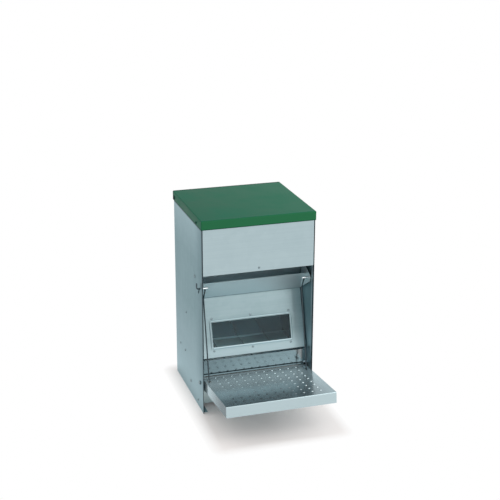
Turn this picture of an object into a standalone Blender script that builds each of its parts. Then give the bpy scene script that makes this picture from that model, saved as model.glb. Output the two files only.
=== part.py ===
"""Treadle-operated gravity poultry feeder, folded from galvanised sheet.

Metres, +Z up. The housing's front edges are modelled at Y = 0 under one empty, which is moved so that
the footprint is centred on the origin. Each moving group hangs from an empty on its joint's axis.
"""

import math

import bmesh
import bpy
import numpy as np

# Sheet, gaps and roundness
SHEET = 0.0010
HALF = SHEET / 2
CLEAR = 0.0003
SLACK = 0.0004
BEND_RADIUS = 0.0020
BEND_STEPS = 3
ROUND_SIDES = 12
BUMP_SIDES = 8
WIRE_SIDES = 8
BITE = 0.0004
THROUGH = 0.004
AXIS_MARK = 0.02

# Housing
BODY_WIDTH = 0.300
BODY_DEPTH = 0.284
PANEL_TOP = 0.526
INNER_X = BODY_WIDTH / 2 - SHEET
FOLD_X = INNER_X - CLEAR
TREADLE_GAP = 0.0048
TREADLE_HALF = INNER_X - TREADLE_GAP
FLAP_GAP = 0.0042
FLAP_HALF = INNER_X - FLAP_GAP
HEM_DEEP = 0.010
HEM_LOW = 0.125
HEM_HIGH = 0.380
FOOT_FLANGE = 0.012
FOOT_FLANGE_INSET = 0.008
PANEL_CHAMFER = (0.012, 0.011)

# Back panel
BACK_Y = BODY_DEPTH - CLEAR - HALF
BACK_LOW = 0.002
BACK_BELOW_TOP = 0.008
BACK_HIGH = PANEL_TOP - BACK_BELOW_TOP
BACK_FLANGE = 0.015
BACK_FLANGE_LOW = 0.170
BACK_FLANGE_BELOW_TOP = 0.031
BACK_FLANGE_HIGH = PANEL_TOP - BACK_FLANGE_BELOW_TOP

# Front panel over the feeding recess
FASCIA_Y = CLEAR + HALF
FASCIA_LOW = 0.382
FASCIA_HIGH = PANEL_TOP - CLEAR
FASCIA_FLANGE = 0.014
FASCIA_RETURN_INSET = 0.003
FASCIA_RIVET_Z = 0.391

# Flap
FLAP_HINGE = (0.074, 0.358)
FLAP_FOOT = (0.044, 0.136)
FLAP_BEND = (0.091, 0.287)
FLAP_HEAD = (0.0525, 0.343)
EAR_X = FLAP_HALF + CLEAR
EAR_HINGE_RADIUS = 0.0095
EAR_PIN_RADIUS = 0.0130
EAR_CORNER = 0.0025
WINDOW_INSET = 0.0368
WINDOW_HALF = FLAP_HALF - WINDOW_INSET
WINDOW_ALONG = (0.0267, 0.0923)
RIM_WIDTH = 0.0055
RIM_PROUD = 0.0012
PANE_LAP_SIDE = 0.010
PANE_LAP_EDGE = 0.0137
PANE_HALF = WINDOW_HALF + PANE_LAP_SIDE
PANE_ALONG = (WINDOW_ALONG[0] - PANE_LAP_EDGE, WINDOW_ALONG[1] + PANE_LAP_EDGE)
PANE_THICK = 0.0020
SCREW_INSET = 0.002
SCREW_OFF = 0.0097
SCREW_X = WINDOW_HALF - SCREW_INSET
SCREW_LOW = WINDOW_ALONG[0] - SCREW_OFF
SCREW_HIGH = WINDOW_ALONG[1] + SCREW_OFF

# Pull rods
ROD_WIRE = 0.0020
ROD_INSET = 0.0102
ROD_X = TREADLE_HALF - ROD_INSET
ROD_PIN = (0.030, 0.339)
ROD_KINK = (0.049, 0.304)
ROD_FOOT = (-0.0008, 0.080)
ROD_HOOK = 0.010
ROD_TIP_PROUD = 0.007
ROD_TIP_X = BODY_WIDTH / 2 + ROD_TIP_PROUD
ROD_TIP_RISE = 0.016
ROD_BEND = 0.005
PIN_TRAVEL = (0.0080, -0.0128)
PIN_SLOT = 0.0066

# Hopper baffle, feed trough and kick panel
BAFFLE_BELOW_TOP = 0.032
BAFFLE_FRONT_GAP = 0.0024
BAFFLE_TOP = (BAFFLE_FRONT_GAP, PANEL_TOP - BAFFLE_BELOW_TOP)
BAFFLE_LIP = 0.018
BAFFLE_PAST_HINGE = 0.114
BAFFLE_BELOW_HINGE = 0.159
BAFFLE_END = (FLAP_HINGE[0] + BAFFLE_PAST_HINGE, FLAP_HINGE[1] - BAFFLE_BELOW_HINGE)
BAFFLE_TAB_FROM = 0.62
BAFFLE_TAB_TO = 0.98
BAFFLE_TAB_DEEP = 0.009
BAFFLE_RIVET_AT = 0.919
BAFFLE_RIVET_OFF = 0.0036
KICK_Y = 0.0405
TROUGH_FRONT_Y = KICK_Y + SHEET + SLACK
TROUGH_LIP_LOW = 0.091
TROUGH_Z = 0.098
TROUGH_SLOPE_RUN = 0.038
TROUGH_SLOPE_RISE = 0.062
TROUGH_END_GAP = 0.0025
TROUGH_BEND_Y = BODY_DEPTH - TROUGH_SLOPE_RUN
TROUGH_END = (BODY_DEPTH - TROUGH_END_GAP, TROUGH_Z + TROUGH_SLOPE_RISE)
TROUGH_TAB_FRONT_INSET = 0.018
TROUGH_TAB_BACK_INSET = 0.003
TROUGH_TAB_FRONT = TROUGH_FRONT_Y + TROUGH_TAB_FRONT_INSET
TROUGH_TAB_BACK = TROUGH_BEND_Y - TROUGH_TAB_BACK_INSET
TROUGH_TAB_DEEP = 0.013
KICK_LOW = 0.010
KICK_FLAP_GAP = 0.0045
KICK_NECK_INSET = 0.0057
KICK_TROUGH_GAP = 0.0015
KICK_HIGH = FLAP_FOOT[1] - KICK_FLAP_GAP
KICK_NECK_HALF = TREADLE_HALF - KICK_NECK_INSET
KICK_NECK_LOW = 0.028
KICK_NECK_HIGH = TROUGH_Z - KICK_TROUGH_GAP
KICK_TAB_DEEP = 0.0215
KICK_TAB_BACK = KICK_Y + KICK_TAB_DEEP
KICK_TAB_HIGH = 0.026

# Feed grid
GRID_WIRE = 0.0015
GRID_PITCH = BODY_WIDTH / 4
GRID_ABOVE_BED = 0.026
GRID_FRONT_GAP = 0.0051
GRID_RISE_RUN = 0.059
GRID_END_GAP = 0.0168
GRID_END_RISE = 0.0432
GRID_WIRE_FRONT_IN = 0.015
GRID_WIRE_BACK_IN = 0.007
GRID_Z = TROUGH_Z + GRID_ABOVE_BED
GRID_FRONT_Y = TROUGH_FRONT_Y + GRID_FRONT_GAP
GRID_RISE_Y = TROUGH_BEND_Y - GRID_RISE_RUN
GRID_END = (BODY_DEPTH - GRID_END_GAP, TROUGH_Z + GRID_END_RISE)
GRID_WIRE_FRONT = GRID_FRONT_Y + GRID_WIRE_FRONT_IN
GRID_WIRE_BACK = GRID_RISE_Y - GRID_WIRE_BACK_IN
GRID_CROSS_HALF = INNER_X - CLEAR
GRID_BEND = 0.006

# Fixings through each side panel, as (Y, Z)
TROUGH_RIVET_FRONT_IN = 0.0615
TROUGH_RIVET_BACK_IN = 0.009
TROUGH_RIVET_RISE = 0.0065
KICK_RIVET_IN = 0.0131
KICK_RIVET_RISE = 0.0063
TROUGH_RIVET_FRONT = (TROUGH_BEND_Y - TROUGH_RIVET_FRONT_IN, TROUGH_Z + TROUGH_RIVET_RISE)
TROUGH_RIVET_BACK = (TROUGH_BEND_Y - TROUGH_RIVET_BACK_IN, TROUGH_Z + TROUGH_RIVET_RISE)
KICK_RIVET = (KICK_Y + KICK_RIVET_IN, KICK_LOW + KICK_RIVET_RISE)

# Lid
LID_OVERHANG = 0.0033
LID_SKIRT_DROP = 0.024
LID_RISE = 0.0025
LID_PIVOT_IN = 0.012
LID_PIVOT_DROP = 0.013
LID_HOLE_IN = 0.044
LID_HOLE_DROP = 0.014
LID_HOLE_RADIUS = 0.0018
LID_LOW = PANEL_TOP - LID_SKIRT_DROP
LID_HIGH = PANEL_TOP + LID_RISE
LID_PIVOT = (BODY_DEPTH - LID_PIVOT_IN, PANEL_TOP - LID_PIVOT_DROP)
LID_HOLE = (LID_HOLE_IN, PANEL_TOP - LID_HOLE_DROP)

# Treadle, in its own frame with the pivot at the origin
TREADLE_PIVOT = (0.0315, 0.076)
TREADLE_TILT = math.radians(5.8)
TREADLE_FRONT = -0.2237
TREADLE_REAR = 0.004
TREADLE_TOP = 0.0107
TREADLE_LIP_LOW = -0.018
ARM_ELBOW = 0.060
ARM_END = 0.102
ARM_TOP = -0.009
ARM_LOW = -0.025
BUMP_COLUMNS = 11
BUMP_ROWS = 9
BUMP_SIDE = 0.0322
BUMP_FIRST = 0.0275
BUMP_LAST = 0.0138
BUMP_PITCH_X = (TREADLE_HALF - BUMP_SIDE) * 2 / (BUMP_COLUMNS - 1)
BUMP_PITCH_Y = (TREADLE_REAR - TREADLE_FRONT - BUMP_FIRST - BUMP_LAST) / (BUMP_ROWS - 1)
BUMP_RADIUS = 0.0028
BUMP_CROWN = 0.0015
BUMP_HEIGHT = 0.0013
WEIGHT_Y = (0.056, 0.090)
WEIGHT_Z = (-0.032, -0.008)
WEIGHT_BOLT = (0.073, -0.017)
WEIGHT_BOLT_DEEP = 0.012
ROD_SLOT = (0.0080, 0.0190)
STOP_PIN_AT = 0.1006

# Fixings
RIVET_SHANK = 0.0016
RIVET_HEAD = 0.0030
RIVET_TAIL = 0.0028
RIVET_HEAD_HIGH = 0.0013
PIN_SHANK = 0.0030
PIN_HEAD = 0.0046
PIN_COLLAR = 0.0050
BOLT_HEAD = 0.0055
BOLT_HEAD_HIGH = 0.0035
BUSH_OUTER = 0.0070

SIDES = (("left", -1.0), ("right", 1.0))
FINISHES = {
    "galvanised_sheet": ((0.44, 0.52, 0.54, 1.0), 0.35, 1.0, 0.0),
    "green_paint": ((0.06, 0.26, 0.13, 1.0), 0.40, 0.0, 0.0),
    "zinc_wire": ((0.36, 0.42, 0.44, 1.0), 0.40, 1.0, 0.0),
    "clear_acrylic": ((0.85, 0.92, 0.92, 1.0), 0.05, 0.0, 0.9),
    "bar_steel": ((0.25, 0.27, 0.28, 1.0), 0.50, 1.0, 0.0),
    "polymer_bush": ((0.70, 0.70, 0.66, 1.0), 0.50, 0.0, 0.0),
}


def clear_scene():
    """Empties the startup scene."""
    for obj in list(bpy.data.objects):
        bpy.data.objects.remove(obj, do_unlink=True)
    for mesh in list(bpy.data.meshes):
        bpy.data.meshes.remove(mesh)


def finish(name):
    """The plain material of this name, made on first use."""
    found = bpy.data.materials.get(name)
    if found:
        return found
    color, roughness, metallic, clear = FINISHES[name]
    made = bpy.data.materials.new(name)
    made.use_nodes = True
    made.diffuse_color = color
    shader = made.node_tree.nodes["Principled BSDF"]
    shader.inputs["Base Color"].default_value = color
    shader.inputs["Roughness"].default_value = roughness
    shader.inputs["Metallic"].default_value = metallic
    shader.inputs["Transmission Weight"].default_value = clear
    return made


def empty(name, place, parent=None, tilt=0.0):
    """An empty that carries a group; its X axis is the joint's axis."""
    made = bpy.data.objects.new(name, None)
    made.empty_display_size = AXIS_MARK
    made.location = place
    made.rotation_euler = (tilt, 0.0, 0.0)
    made.parent = parent
    bpy.context.scene.collection.objects.link(made)
    return made


def prism(outline, axis, low, high):
    """A flat outline carried along one axis. An X prism reads (Y, Z), a Y prism (X, Z), a Z prism (X, Y)."""
    flat = np.asarray(outline, float)
    count = len(flat)
    points = np.zeros((2 * count, 3))
    others = [i for i in range(3) if i != axis]
    for row, value in ((0, low), (count, high)):
        points[row : row + count, others] = flat
        points[row : row + count, axis] = value
    ends = [tuple(range(count)), tuple(range(count, 2 * count))]
    walls = [(i, (i + 1) % count, (i + 1) % count + count, i + count) for i in range(count)]
    return points, ends + walls


def box(low, high):
    """A block between two corners."""
    outline = [(low[1], low[2]), (high[1], low[2]), (high[1], high[2]), (low[1], high[2])]
    return prism(outline, 0, low[0], high[0])


def disc(centre, radius, axis, low, high, sides=ROUND_SIDES):
    """A round bar across one axis, used for pins' holes."""
    turn = np.arange(sides) * 2 * math.pi / sides + math.pi / sides
    outline = [(centre[0] + radius * math.cos(t), centre[1] + radius * math.sin(t)) for t in turn]
    return prism(outline, axis, low, high)


def turned(profile, base, direction, sides=ROUND_SIDES):
    """A profile of (distance along, radius) spun about the line from base along direction."""
    along = np.asarray(direction, float)
    along = along / np.linalg.norm(along)
    across = np.cross(along, (0.0, 0.0, 1.0) if abs(along[2]) < 0.9 else (1.0, 0.0, 0.0))
    across = across / np.linalg.norm(across)
    third = np.cross(along, across)
    turn = np.arange(sides) * 2 * math.pi / sides
    ring = np.outer(np.cos(turn), across) + np.outer(np.sin(turn), third)
    points = np.concatenate([np.asarray(base) + along * d + ring * r for d, r in profile])
    rows = len(profile)
    faces = [tuple(range(sides)), tuple(range((rows - 1) * sides, rows * sides))]
    for row in range(rows - 1):
        for i in range(sides):
            j = (i + 1) % sides
            faces.append((row * sides + i, row * sides + j, row * sides + sides + j, row * sides + sides + i))
    return points, faces


def eased(path, radius, steps):
    """A path with each inner corner replaced by a short arc."""
    path = [np.asarray(p, float) for p in path]
    out = [path[0]]
    for before, corner, after in zip(path, path[1:], path[2:]):
        come = (before - corner) / np.linalg.norm(before - corner)
        leave = (after - corner) / np.linalg.norm(after - corner)
        angle = math.acos(np.clip(np.dot(come, leave), -1.0, 1.0))
        reach = radius / math.tan(angle / 2)
        middle = corner + (come + leave) / np.linalg.norm(come + leave) * radius / math.sin(angle / 2)
        start, stop = corner + come * reach - middle, corner + leave * reach - middle
        sweep = math.pi - angle
        for k in range(steps + 1):
            part = k / steps
            arc = math.sin((1 - part) * sweep) * start + math.sin(part * sweep) * stop
            out.append(middle + arc / math.sin(sweep))
    out.append(path[-1])
    return np.array(out)


def strip(path, thickness=SHEET, radius=BEND_RADIUS):
    """The outline of a folded strip of sheet whose middle follows a flat path."""
    line = eased(path, radius, BEND_STEPS)
    step = np.diff(line, axis=0)
    step = step / np.linalg.norm(step, axis=1, keepdims=True)
    side = np.stack([-step[:, 1], step[:, 0]], axis=1)
    first, last = np.vstack([side[:1], side]), np.vstack([side, side[-1:]])
    mitre = first + last
    mitre = mitre / (mitre * first).sum(axis=1, keepdims=True)
    offset = mitre * thickness / 2
    return np.vstack([line + offset, (line - offset)[::-1]])


def tube(path, radius, bend, sides=WIRE_SIDES):
    """A round wire along a path, with eased corners and flat ends."""
    line = eased(path, bend, BEND_STEPS + 1)
    step = np.diff(line, axis=0)
    step = step / np.linalg.norm(step, axis=1, keepdims=True)
    heading = np.vstack([step[:1], step[:-1] + step[1:], step[-1:]])
    heading = heading / np.linalg.norm(heading, axis=1, keepdims=True)
    across = np.cross(heading[0], (0.31, 0.57, 0.76))
    turn = np.arange(sides) * 2 * math.pi / sides
    rings = []
    for place, ahead in zip(line, heading):
        across = across - ahead * np.dot(across, ahead)
        across = across / np.linalg.norm(across)
        third = np.cross(ahead, across)
        rings.append(place + radius * (np.outer(np.cos(turn), across) + np.outer(np.sin(turn), third)))
    count = len(line)
    faces = [tuple(range(sides)), tuple(range((count - 1) * sides, count * sides))]
    for row in range(count - 1):
        for i in range(sides):
            j = (i + 1) % sides
            faces.append((row * sides + i, row * sides + j, row * sides + sides + j, row * sides + sides + i))
    return np.concatenate(rings), faces


def merged(shapes):
    """Several shapes as one list of points and faces."""
    points, faces, start = [], [], 0
    for some, these in shapes:
        points.append(some)
        faces += [tuple(i + start for i in face) for face in these]
        start += len(some)
    return np.concatenate(points), faces


def mirrored(shape, side):
    """A shape on the right (side +1), or its mirror image on the left (side -1)."""
    points, faces = shape
    return points * np.array([side, 1.0, 1.0]), faces


def solid(name, shape, parent, look, helper=False, origin=(0.0, 0.0, 0.0)):
    """An object from a shape given in its parent's frame, with its origin at a place there."""
    points, faces = shape
    mesh = bpy.data.meshes.new(name)
    mesh.from_pydata((points - np.asarray(origin)).tolist(), [], [list(f) for f in faces])
    work = bmesh.new()
    work.from_mesh(mesh)
    bmesh.ops.recalc_face_normals(work, faces=work.faces)
    work.to_mesh(mesh)
    work.free()
    obj = bpy.data.objects.new(name, mesh)
    obj.location = origin
    obj.parent = parent
    bpy.context.scene.collection.objects.link(obj)
    if helper:
        obj.hide_render = True
        obj.display_type = "WIRE"
    else:
        mesh.materials.append(finish(look))
    return obj


def work(obj, shape, operation):
    """Adds or cuts a shape, kept as a hidden helper beside the object."""
    helper = solid(f"{obj.name}_{operation.lower()}", shape, obj.parent, None, True)
    step = obj.modifiers.new(operation.lower(), "BOOLEAN")
    step.operation = operation
    step.solver = "EXACT"
    step.object = helper


def add(obj, shape):
    """Joins a shape to an object."""
    work(obj, shape, "UNION")


def cut(obj, shape):
    """Cuts a shape out of an object."""
    work(obj, shape, "DIFFERENCE")


def on_flap(along, off):
    """(Y, Z) of a place on the flap's lower panel: along the slope from its foot, and off its front face."""
    run = np.subtract(FLAP_BEND, FLAP_FOOT)
    run = run / np.linalg.norm(run)
    out = np.array([-run[1], run[0]])
    return tuple(np.asarray(FLAP_FOOT) + run * along + out * off)


def flap_slab(half, along, off):
    """A block lying on the flap's lower panel."""
    corners = [(along[0], off[0]), (along[1], off[0]), (along[1], off[1]), (along[0], off[1])]
    return prism([on_flap(*corner) for corner in corners], 0, -half, half)


def on_baffle(part, off):
    """(Y, Z) of a place on the baffle's slope, off its under side."""
    start, end = np.asarray(BAFFLE_TOP), np.asarray(BAFFLE_END)
    run = (end - start) / np.linalg.norm(end - start)
    return tuple(start + (end - start) * part + np.array([run[1], -run[0]]) * off)


def baffle_rivet():
    """(Y, Z) of the rivet through the baffle's side tab."""
    return on_baffle(BAFFLE_RIVET_AT, BAFFLE_RIVET_OFF)


def ear_outline():
    """The ear's edge in (Y, Z): round the rod pin, round the hinge, and down to the flap's bend."""
    outline = [(FLAP_BEND[0] + EAR_CORNER, FLAP_BEND[1])]
    for centre, radius, degrees in (
        (ROD_PIN, EAR_PIN_RADIUS, range(255, 104, -25)),
        (FLAP_HINGE, EAR_HINGE_RADIUS, range(105, -16, -30)),
    ):
        for angle in degrees:
            t = math.radians(angle)
            outline.append((centre[0] + radius * math.cos(t), centre[1] + radius * math.sin(t)))
    return outline


def stop_pin_place():
    """(Y, Z) of the stop pin that the treadle's arm rests on from above."""
    cos, sin = math.cos(TREADLE_TILT), math.sin(TREADLE_TILT)
    along, down = STOP_PIN_AT, ARM_LOW - PIN_SHANK - CLEAR
    return TREADLE_PIVOT[0] + along * cos + down * sin, TREADLE_PIVOT[1] - along * sin + down * cos


def through_panel(place, radius, side, deep=THROUGH):
    """A round hole across one side panel and the folds behind it."""
    return mirrored(disc(place, radius, 0, INNER_X - deep, BODY_WIDTH / 2 + deep), side)


def slot_outline(start, travel, width):
    """A round-ended slot in (Y, Z)."""
    start, travel = np.asarray(start), np.asarray(travel)
    along = travel / np.linalg.norm(travel)
    across = np.array([-along[1], along[0]])
    outline = []
    for centre, first in ((start + travel, -90), (start, 90)):
        for degrees in range(first, first + 181, 30):
            t = math.radians(degrees)
            outline.append(centre + width / 2 * (along * math.cos(t) + across * math.sin(t)))
    return outline


def side_panels(housing):
    """The two side panels with their front hems, foot flanges, holes and pin slots."""
    long_y, long_z = PANEL_CHAMFER
    outline = [
        (0.0, 0.0),
        (BODY_DEPTH, 0.0),
        (BODY_DEPTH, PANEL_TOP - long_z),
        (BODY_DEPTH - long_y, PANEL_TOP),
        (0.0, PANEL_TOP),
    ]
    outer, root = BODY_WIDTH / 2, INNER_X + BITE
    for word, side in SIDES:
        panel = solid(
            f"{word}_side_panel",
            mirrored(prism(outline, 0, INNER_X, outer), side),
            housing,
            "galvanised_sheet",
        )
        front = box((INNER_X - SHEET, 0.0, HEM_LOW), (root, HEM_DEEP, HEM_HIGH))
        foot_back = BODY_DEPTH - FOOT_FLANGE_INSET
        foot = box((INNER_X - FOOT_FLANGE, FOOT_FLANGE_INSET, 0.0), (root, foot_back, SHEET))
        add(panel, mirrored(merged([front, foot]), side))
        rivets = [baffle_rivet(), TROUGH_RIVET_FRONT, TROUGH_RIVET_BACK, KICK_RIVET]
        holes = [through_panel(place, RIVET_SHANK + CLEAR, side) for place in rivets]
        for place in (TREADLE_PIVOT, FLAP_HINGE, stop_pin_place()):
            holes.append(through_panel(place, PIN_SHANK + SLACK, side))
        holes.append(through_panel(LID_PIVOT, RIVET_SHANK + SLACK, side))
        slot = prism(slot_outline(ROD_PIN, PIN_TRAVEL, PIN_SLOT), 0, INNER_X - SHEET, outer + SHEET)
        holes.append(mirrored(slot, side))
        cut(panel, merged(holes))


def back_panel(housing):
    """The back sheet, folded forward along both sides."""
    sheet = box(
        (-FOLD_X, BACK_Y - HALF, BACK_LOW),
        (FOLD_X, BACK_Y + HALF, BACK_HIGH),
    )
    panel = solid("back_panel", sheet, housing, "galvanised_sheet")
    folds = []
    for _, side in SIDES:
        fold = box(
            (FOLD_X - SHEET, BODY_DEPTH - BACK_FLANGE, BACK_FLANGE_LOW),
            (FOLD_X, BACK_Y, BACK_FLANGE_HIGH),
        )
        folds.append(mirrored(fold, side))
    add(panel, merged(folds))


def front_panel(housing):
    """The fascia above the feeding recess, folded back at both sides and along its lower edge."""
    edge = FOLD_X - HALF
    path = [(-edge, FASCIA_FLANGE), (-edge, FASCIA_Y), (edge, FASCIA_Y), (edge, FASCIA_FLANGE)]
    panel = solid("front_panel", prism(strip(path), 2, FASCIA_LOW, FASCIA_HIGH), housing, "galvanised_sheet")
    half = FOLD_X - FASCIA_RETURN_INSET
    add(panel, box((-half, FASCIA_Y, FASCIA_LOW), (half, FASCIA_FLANGE, FASCIA_LOW + SHEET)))
    cut(panel, disc((0.0, FASCIA_RIVET_Z), RIVET_SHANK + CLEAR, 1, -SHEET, 4 * SHEET))
    face, back = FASCIA_Y - HALF - CLEAR, FASCIA_Y + HALF + CLEAR
    profile = [
        (face - RIVET_HEAD_HIGH, RIVET_HEAD / 2),
        (face - RIVET_HEAD_HIGH / 2, RIVET_HEAD),
        (face, RIVET_HEAD),
        (face, RIVET_SHANK),
        (back, RIVET_SHANK),
        (back, RIVET_TAIL),
        (back + RIVET_HEAD_HIGH, RIVET_TAIL),
    ]
    rivet = turned(profile, (0.0, 0.0, FASCIA_RIVET_Z), (0.0, 1.0, 0.0))
    solid("front_panel_rivet", rivet, housing, "zinc_wire")


def hopper_baffle(housing):
    """The sloping sheet that leads the feed to the back of the trough."""
    path = [(BAFFLE_TOP[0], BAFFLE_TOP[1] + BAFFLE_LIP), BAFFLE_TOP, BAFFLE_END]
    baffle = solid("hopper_baffle", prism(strip(path), 0, -FOLD_X, FOLD_X), housing, "galvanised_sheet")
    tab = [
        on_baffle(BAFFLE_TAB_FROM, 0.0),
        on_baffle(BAFFLE_TAB_TO, 0.0),
        on_baffle(BAFFLE_TAB_TO, BAFFLE_TAB_DEEP),
        on_baffle(BAFFLE_TAB_FROM, BAFFLE_TAB_DEEP),
    ]
    tabs = prism(tab, 0, FOLD_X - SHEET, FOLD_X)
    add(baffle, merged([mirrored(tabs, side) for _, side in SIDES]))
    notch = box(
        (FOLD_X - SHEET - 2 * CLEAR, -BAFFLE_LIP, FASCIA_LOW),
        (FOLD_X + SHEET, FASCIA_FLANGE + SHEET, PANEL_TOP),
    )
    holes = [through_panel(baffle_rivet(), RIVET_SHANK + CLEAR, 1.0), notch]
    cut(baffle, merged([mirrored(hole, side) for hole in holes for _, side in SIDES]))


def feed_trough(housing):
    """The trough floor, with a lip down at the front, a slope at the back and folded-up side tabs."""
    front = TROUGH_FRONT_Y
    path = [(front, TROUGH_LIP_LOW), (front, TROUGH_Z), (TROUGH_BEND_Y, TROUGH_Z), TROUGH_END]
    trough = solid("feed_trough", prism(strip(path), 0, -FOLD_X, FOLD_X), housing, "galvanised_sheet")
    tab = box(
        (FOLD_X - SHEET, TROUGH_TAB_FRONT, TROUGH_Z),
        (FOLD_X, TROUGH_TAB_BACK, TROUGH_Z + TROUGH_TAB_DEEP),
    )
    add(trough, merged([mirrored(tab, side) for _, side in SIDES]))
    places = [(place, side) for place in (TROUGH_RIVET_FRONT, TROUGH_RIVET_BACK) for _, side in SIDES]
    cut(trough, merged([through_panel(place, RIVET_SHANK + CLEAR, side) for place, side in places]))


def kick_panel(housing):
    """The upright below the flap, necked in where the treadle's arms pass, with tabs at its foot."""
    right = [
        (FOLD_X, KICK_LOW),
        (FOLD_X, KICK_NECK_LOW),
        (KICK_NECK_HALF, KICK_NECK_LOW),
        (KICK_NECK_HALF, KICK_NECK_HIGH),
        (FOLD_X, KICK_NECK_HIGH),
        (FOLD_X, KICK_HIGH),
    ]
    outline = right + [(-x, z) for x, z in reversed(right)]
    panel = solid("kick_panel", prism(outline, 1, KICK_Y - HALF, KICK_Y + HALF), housing, "galvanised_sheet")
    tab = box((FOLD_X - SHEET, KICK_Y, KICK_LOW), (FOLD_X, KICK_TAB_BACK, KICK_TAB_HIGH))
    add(panel, merged([mirrored(tab, side) for _, side in SIDES]))
    cut(panel, merged([through_panel(KICK_RIVET, RIVET_SHANK + CLEAR, side) for _, side in SIDES]))


def feed_grid(housing):
    """Bent bars and cross wires over the trough that keep the feed from being raked out."""
    floor = TROUGH_Z + HALF + CLEAR
    bars = {"left": -GRID_PITCH, "middle": 0.0, "right": GRID_PITCH}
    for word, x in bars.items():
        path = [
            (x, GRID_FRONT_Y, floor),
            (x, GRID_FRONT_Y, GRID_Z),
            (x, GRID_RISE_Y, GRID_Z),
            (x, *GRID_END),
        ]
        solid(f"grid_bar_{word}", tube(path, GRID_WIRE, GRID_BEND), housing, "zinc_wire")
    over = GRID_Z + 2 * GRID_WIRE + CLEAR
    for word, y in (("front", GRID_WIRE_FRONT), ("back", GRID_WIRE_BACK)):
        path = [(-GRID_CROSS_HALF, y, over), (GRID_CROSS_HALF, y, over)]
        solid(f"grid_wire_{word}", tube(path, GRID_WIRE, GRID_BEND), housing, "zinc_wire")


def spun_across(name, profile, place, side, parent, look):
    """A fixing turned about a line across the feeder, from a profile of (distance out, radius)."""
    shape = turned(profile, (0.0, *place), (1.0, 0.0, 0.0))
    return solid(name, mirrored(shape, side), parent, look)


def stepped(*steps):
    """A turned profile from (start, end, radius) steps in order."""
    profile = []
    for start, end, radius in steps:
        profile += [(start, radius), (end, radius)]
    return profile


def side_fixings(housing):
    """Rivets, bolts, bushes and stop pins through the side panels."""
    outer = BODY_WIDTH / 2 + CLEAR
    for word, side in SIDES:
        named = {
            f"baffle_rivet_{word}": baffle_rivet(),
            f"trough_rivet_front_{word}": TROUGH_RIVET_FRONT,
            f"trough_rivet_back_{word}": TROUGH_RIVET_BACK,
            f"kick_rivet_{word}": KICK_RIVET,
        }
        inside = FOLD_X - SHEET - CLEAR
        for name, place in named.items():
            profile = stepped(
                (inside - RIVET_HEAD_HIGH, inside, RIVET_TAIL),
                (inside, outer, RIVET_SHANK),
                (outer, outer + RIVET_HEAD_HIGH / 2, RIVET_HEAD),
            )
            profile.append((outer + RIVET_HEAD_HIGH, RIVET_HEAD / 2))
            spun_across(name, profile, place, side, housing, "zinc_wire")
        ear_in, ear_out = EAR_X - CLEAR, EAR_X + SHEET + CLEAR
        profile = stepped(
            (ear_in - 1.5 * SHEET, ear_in, PIN_COLLAR),
            (ear_in, ear_out, PIN_SHANK),
            (ear_out, INNER_X - CLEAR, PIN_COLLAR),
            (INNER_X - CLEAR, outer, PIN_SHANK),
            (outer, outer + RIVET_HEAD_HIGH, PIN_HEAD),
        )
        spun_across(f"flap_hinge_rivet_{word}", profile, FLAP_HINGE, side, housing, "zinc_wire")
        arm_in = TREADLE_HALF - SHEET - CLEAR
        profile = stepped(
            (arm_in - 2 * SHEET, arm_in, BOLT_HEAD),
            (arm_in, outer, PIN_SHANK),
            (outer, outer + BOLT_HEAD_HIGH, BOLT_HEAD),
        )
        spun_across(f"treadle_bolt_{word}", profile, TREADLE_PIVOT, side, housing, "zinc_wire")
        low, high = TREADLE_HALF + CLEAR, INNER_X - CLEAR
        profile = [(low, BUSH_OUTER), (high, BUSH_OUTER)]
        bush = spun_across(f"treadle_bush_{word}", profile, TREADLE_PIVOT, side, housing, "polymer_bush")
        cut(bush, through_panel(TREADLE_PIVOT, PIN_SHANK + SLACK, side, 4 * SHEET + PIN_SHANK))
        profile = stepped((arm_in, outer, PIN_SHANK), (outer, outer + RIVET_HEAD_HIGH, PIN_HEAD))
        spun_across(f"stop_pin_{word}", profile, stop_pin_place(), side, housing, "zinc_wire")
        skirt = BODY_WIDTH / 2 + LID_OVERHANG
        profile = stepped(
            (INNER_X - CLEAR - RIVET_HEAD_HIGH, INNER_X - CLEAR, PIN_HEAD),
            (INNER_X - CLEAR, outer, RIVET_SHANK),
            (outer, skirt - SHEET - CLEAR, PIN_HEAD),
            (skirt - SHEET - CLEAR, skirt + CLEAR, RIVET_SHANK),
            (skirt + CLEAR, skirt + CLEAR + RIVET_HEAD_HIGH, PIN_HEAD),
        )
        spun_across(f"lid_rivet_{word}", profile, LID_PIVOT, side, housing, "zinc_wire")


def lid(axis):
    """The painted lid: three skirts, two rivets at the back corners and a pin hole on each side."""
    place = np.array([0.0, *LID_PIVOT])
    edge, back = BODY_WIDTH / 2 + LID_OVERHANG, BODY_DEPTH + LID_OVERHANG
    mid, top = edge - HALF, LID_HIGH - HALF
    path = [(-mid, LID_LOW), (-mid, top), (mid, top), (mid, LID_LOW)]

    def local(shape):
        return shape[0] - place, shape[1]

    tray = solid("lid", local(prism(strip(path), 1, -LID_OVERHANG, back)), axis, "green_paint")
    skirt = prism(
        [(-mid, LID_LOW), (mid, LID_LOW), (mid, top), (-mid, top)],
        1,
        -LID_OVERHANG,
        SHEET - LID_OVERHANG,
    )
    add(tray, local(skirt))
    pivot = disc(LID_PIVOT, RIVET_SHANK + SLACK, 0, INNER_X, edge + SHEET)
    latch = disc(LID_HOLE, LID_HOLE_RADIUS, 0, INNER_X, edge + SHEET)
    cut(tray, local(merged([mirrored(shape, side) for shape in (pivot, latch) for _, side in SIDES])))


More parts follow.
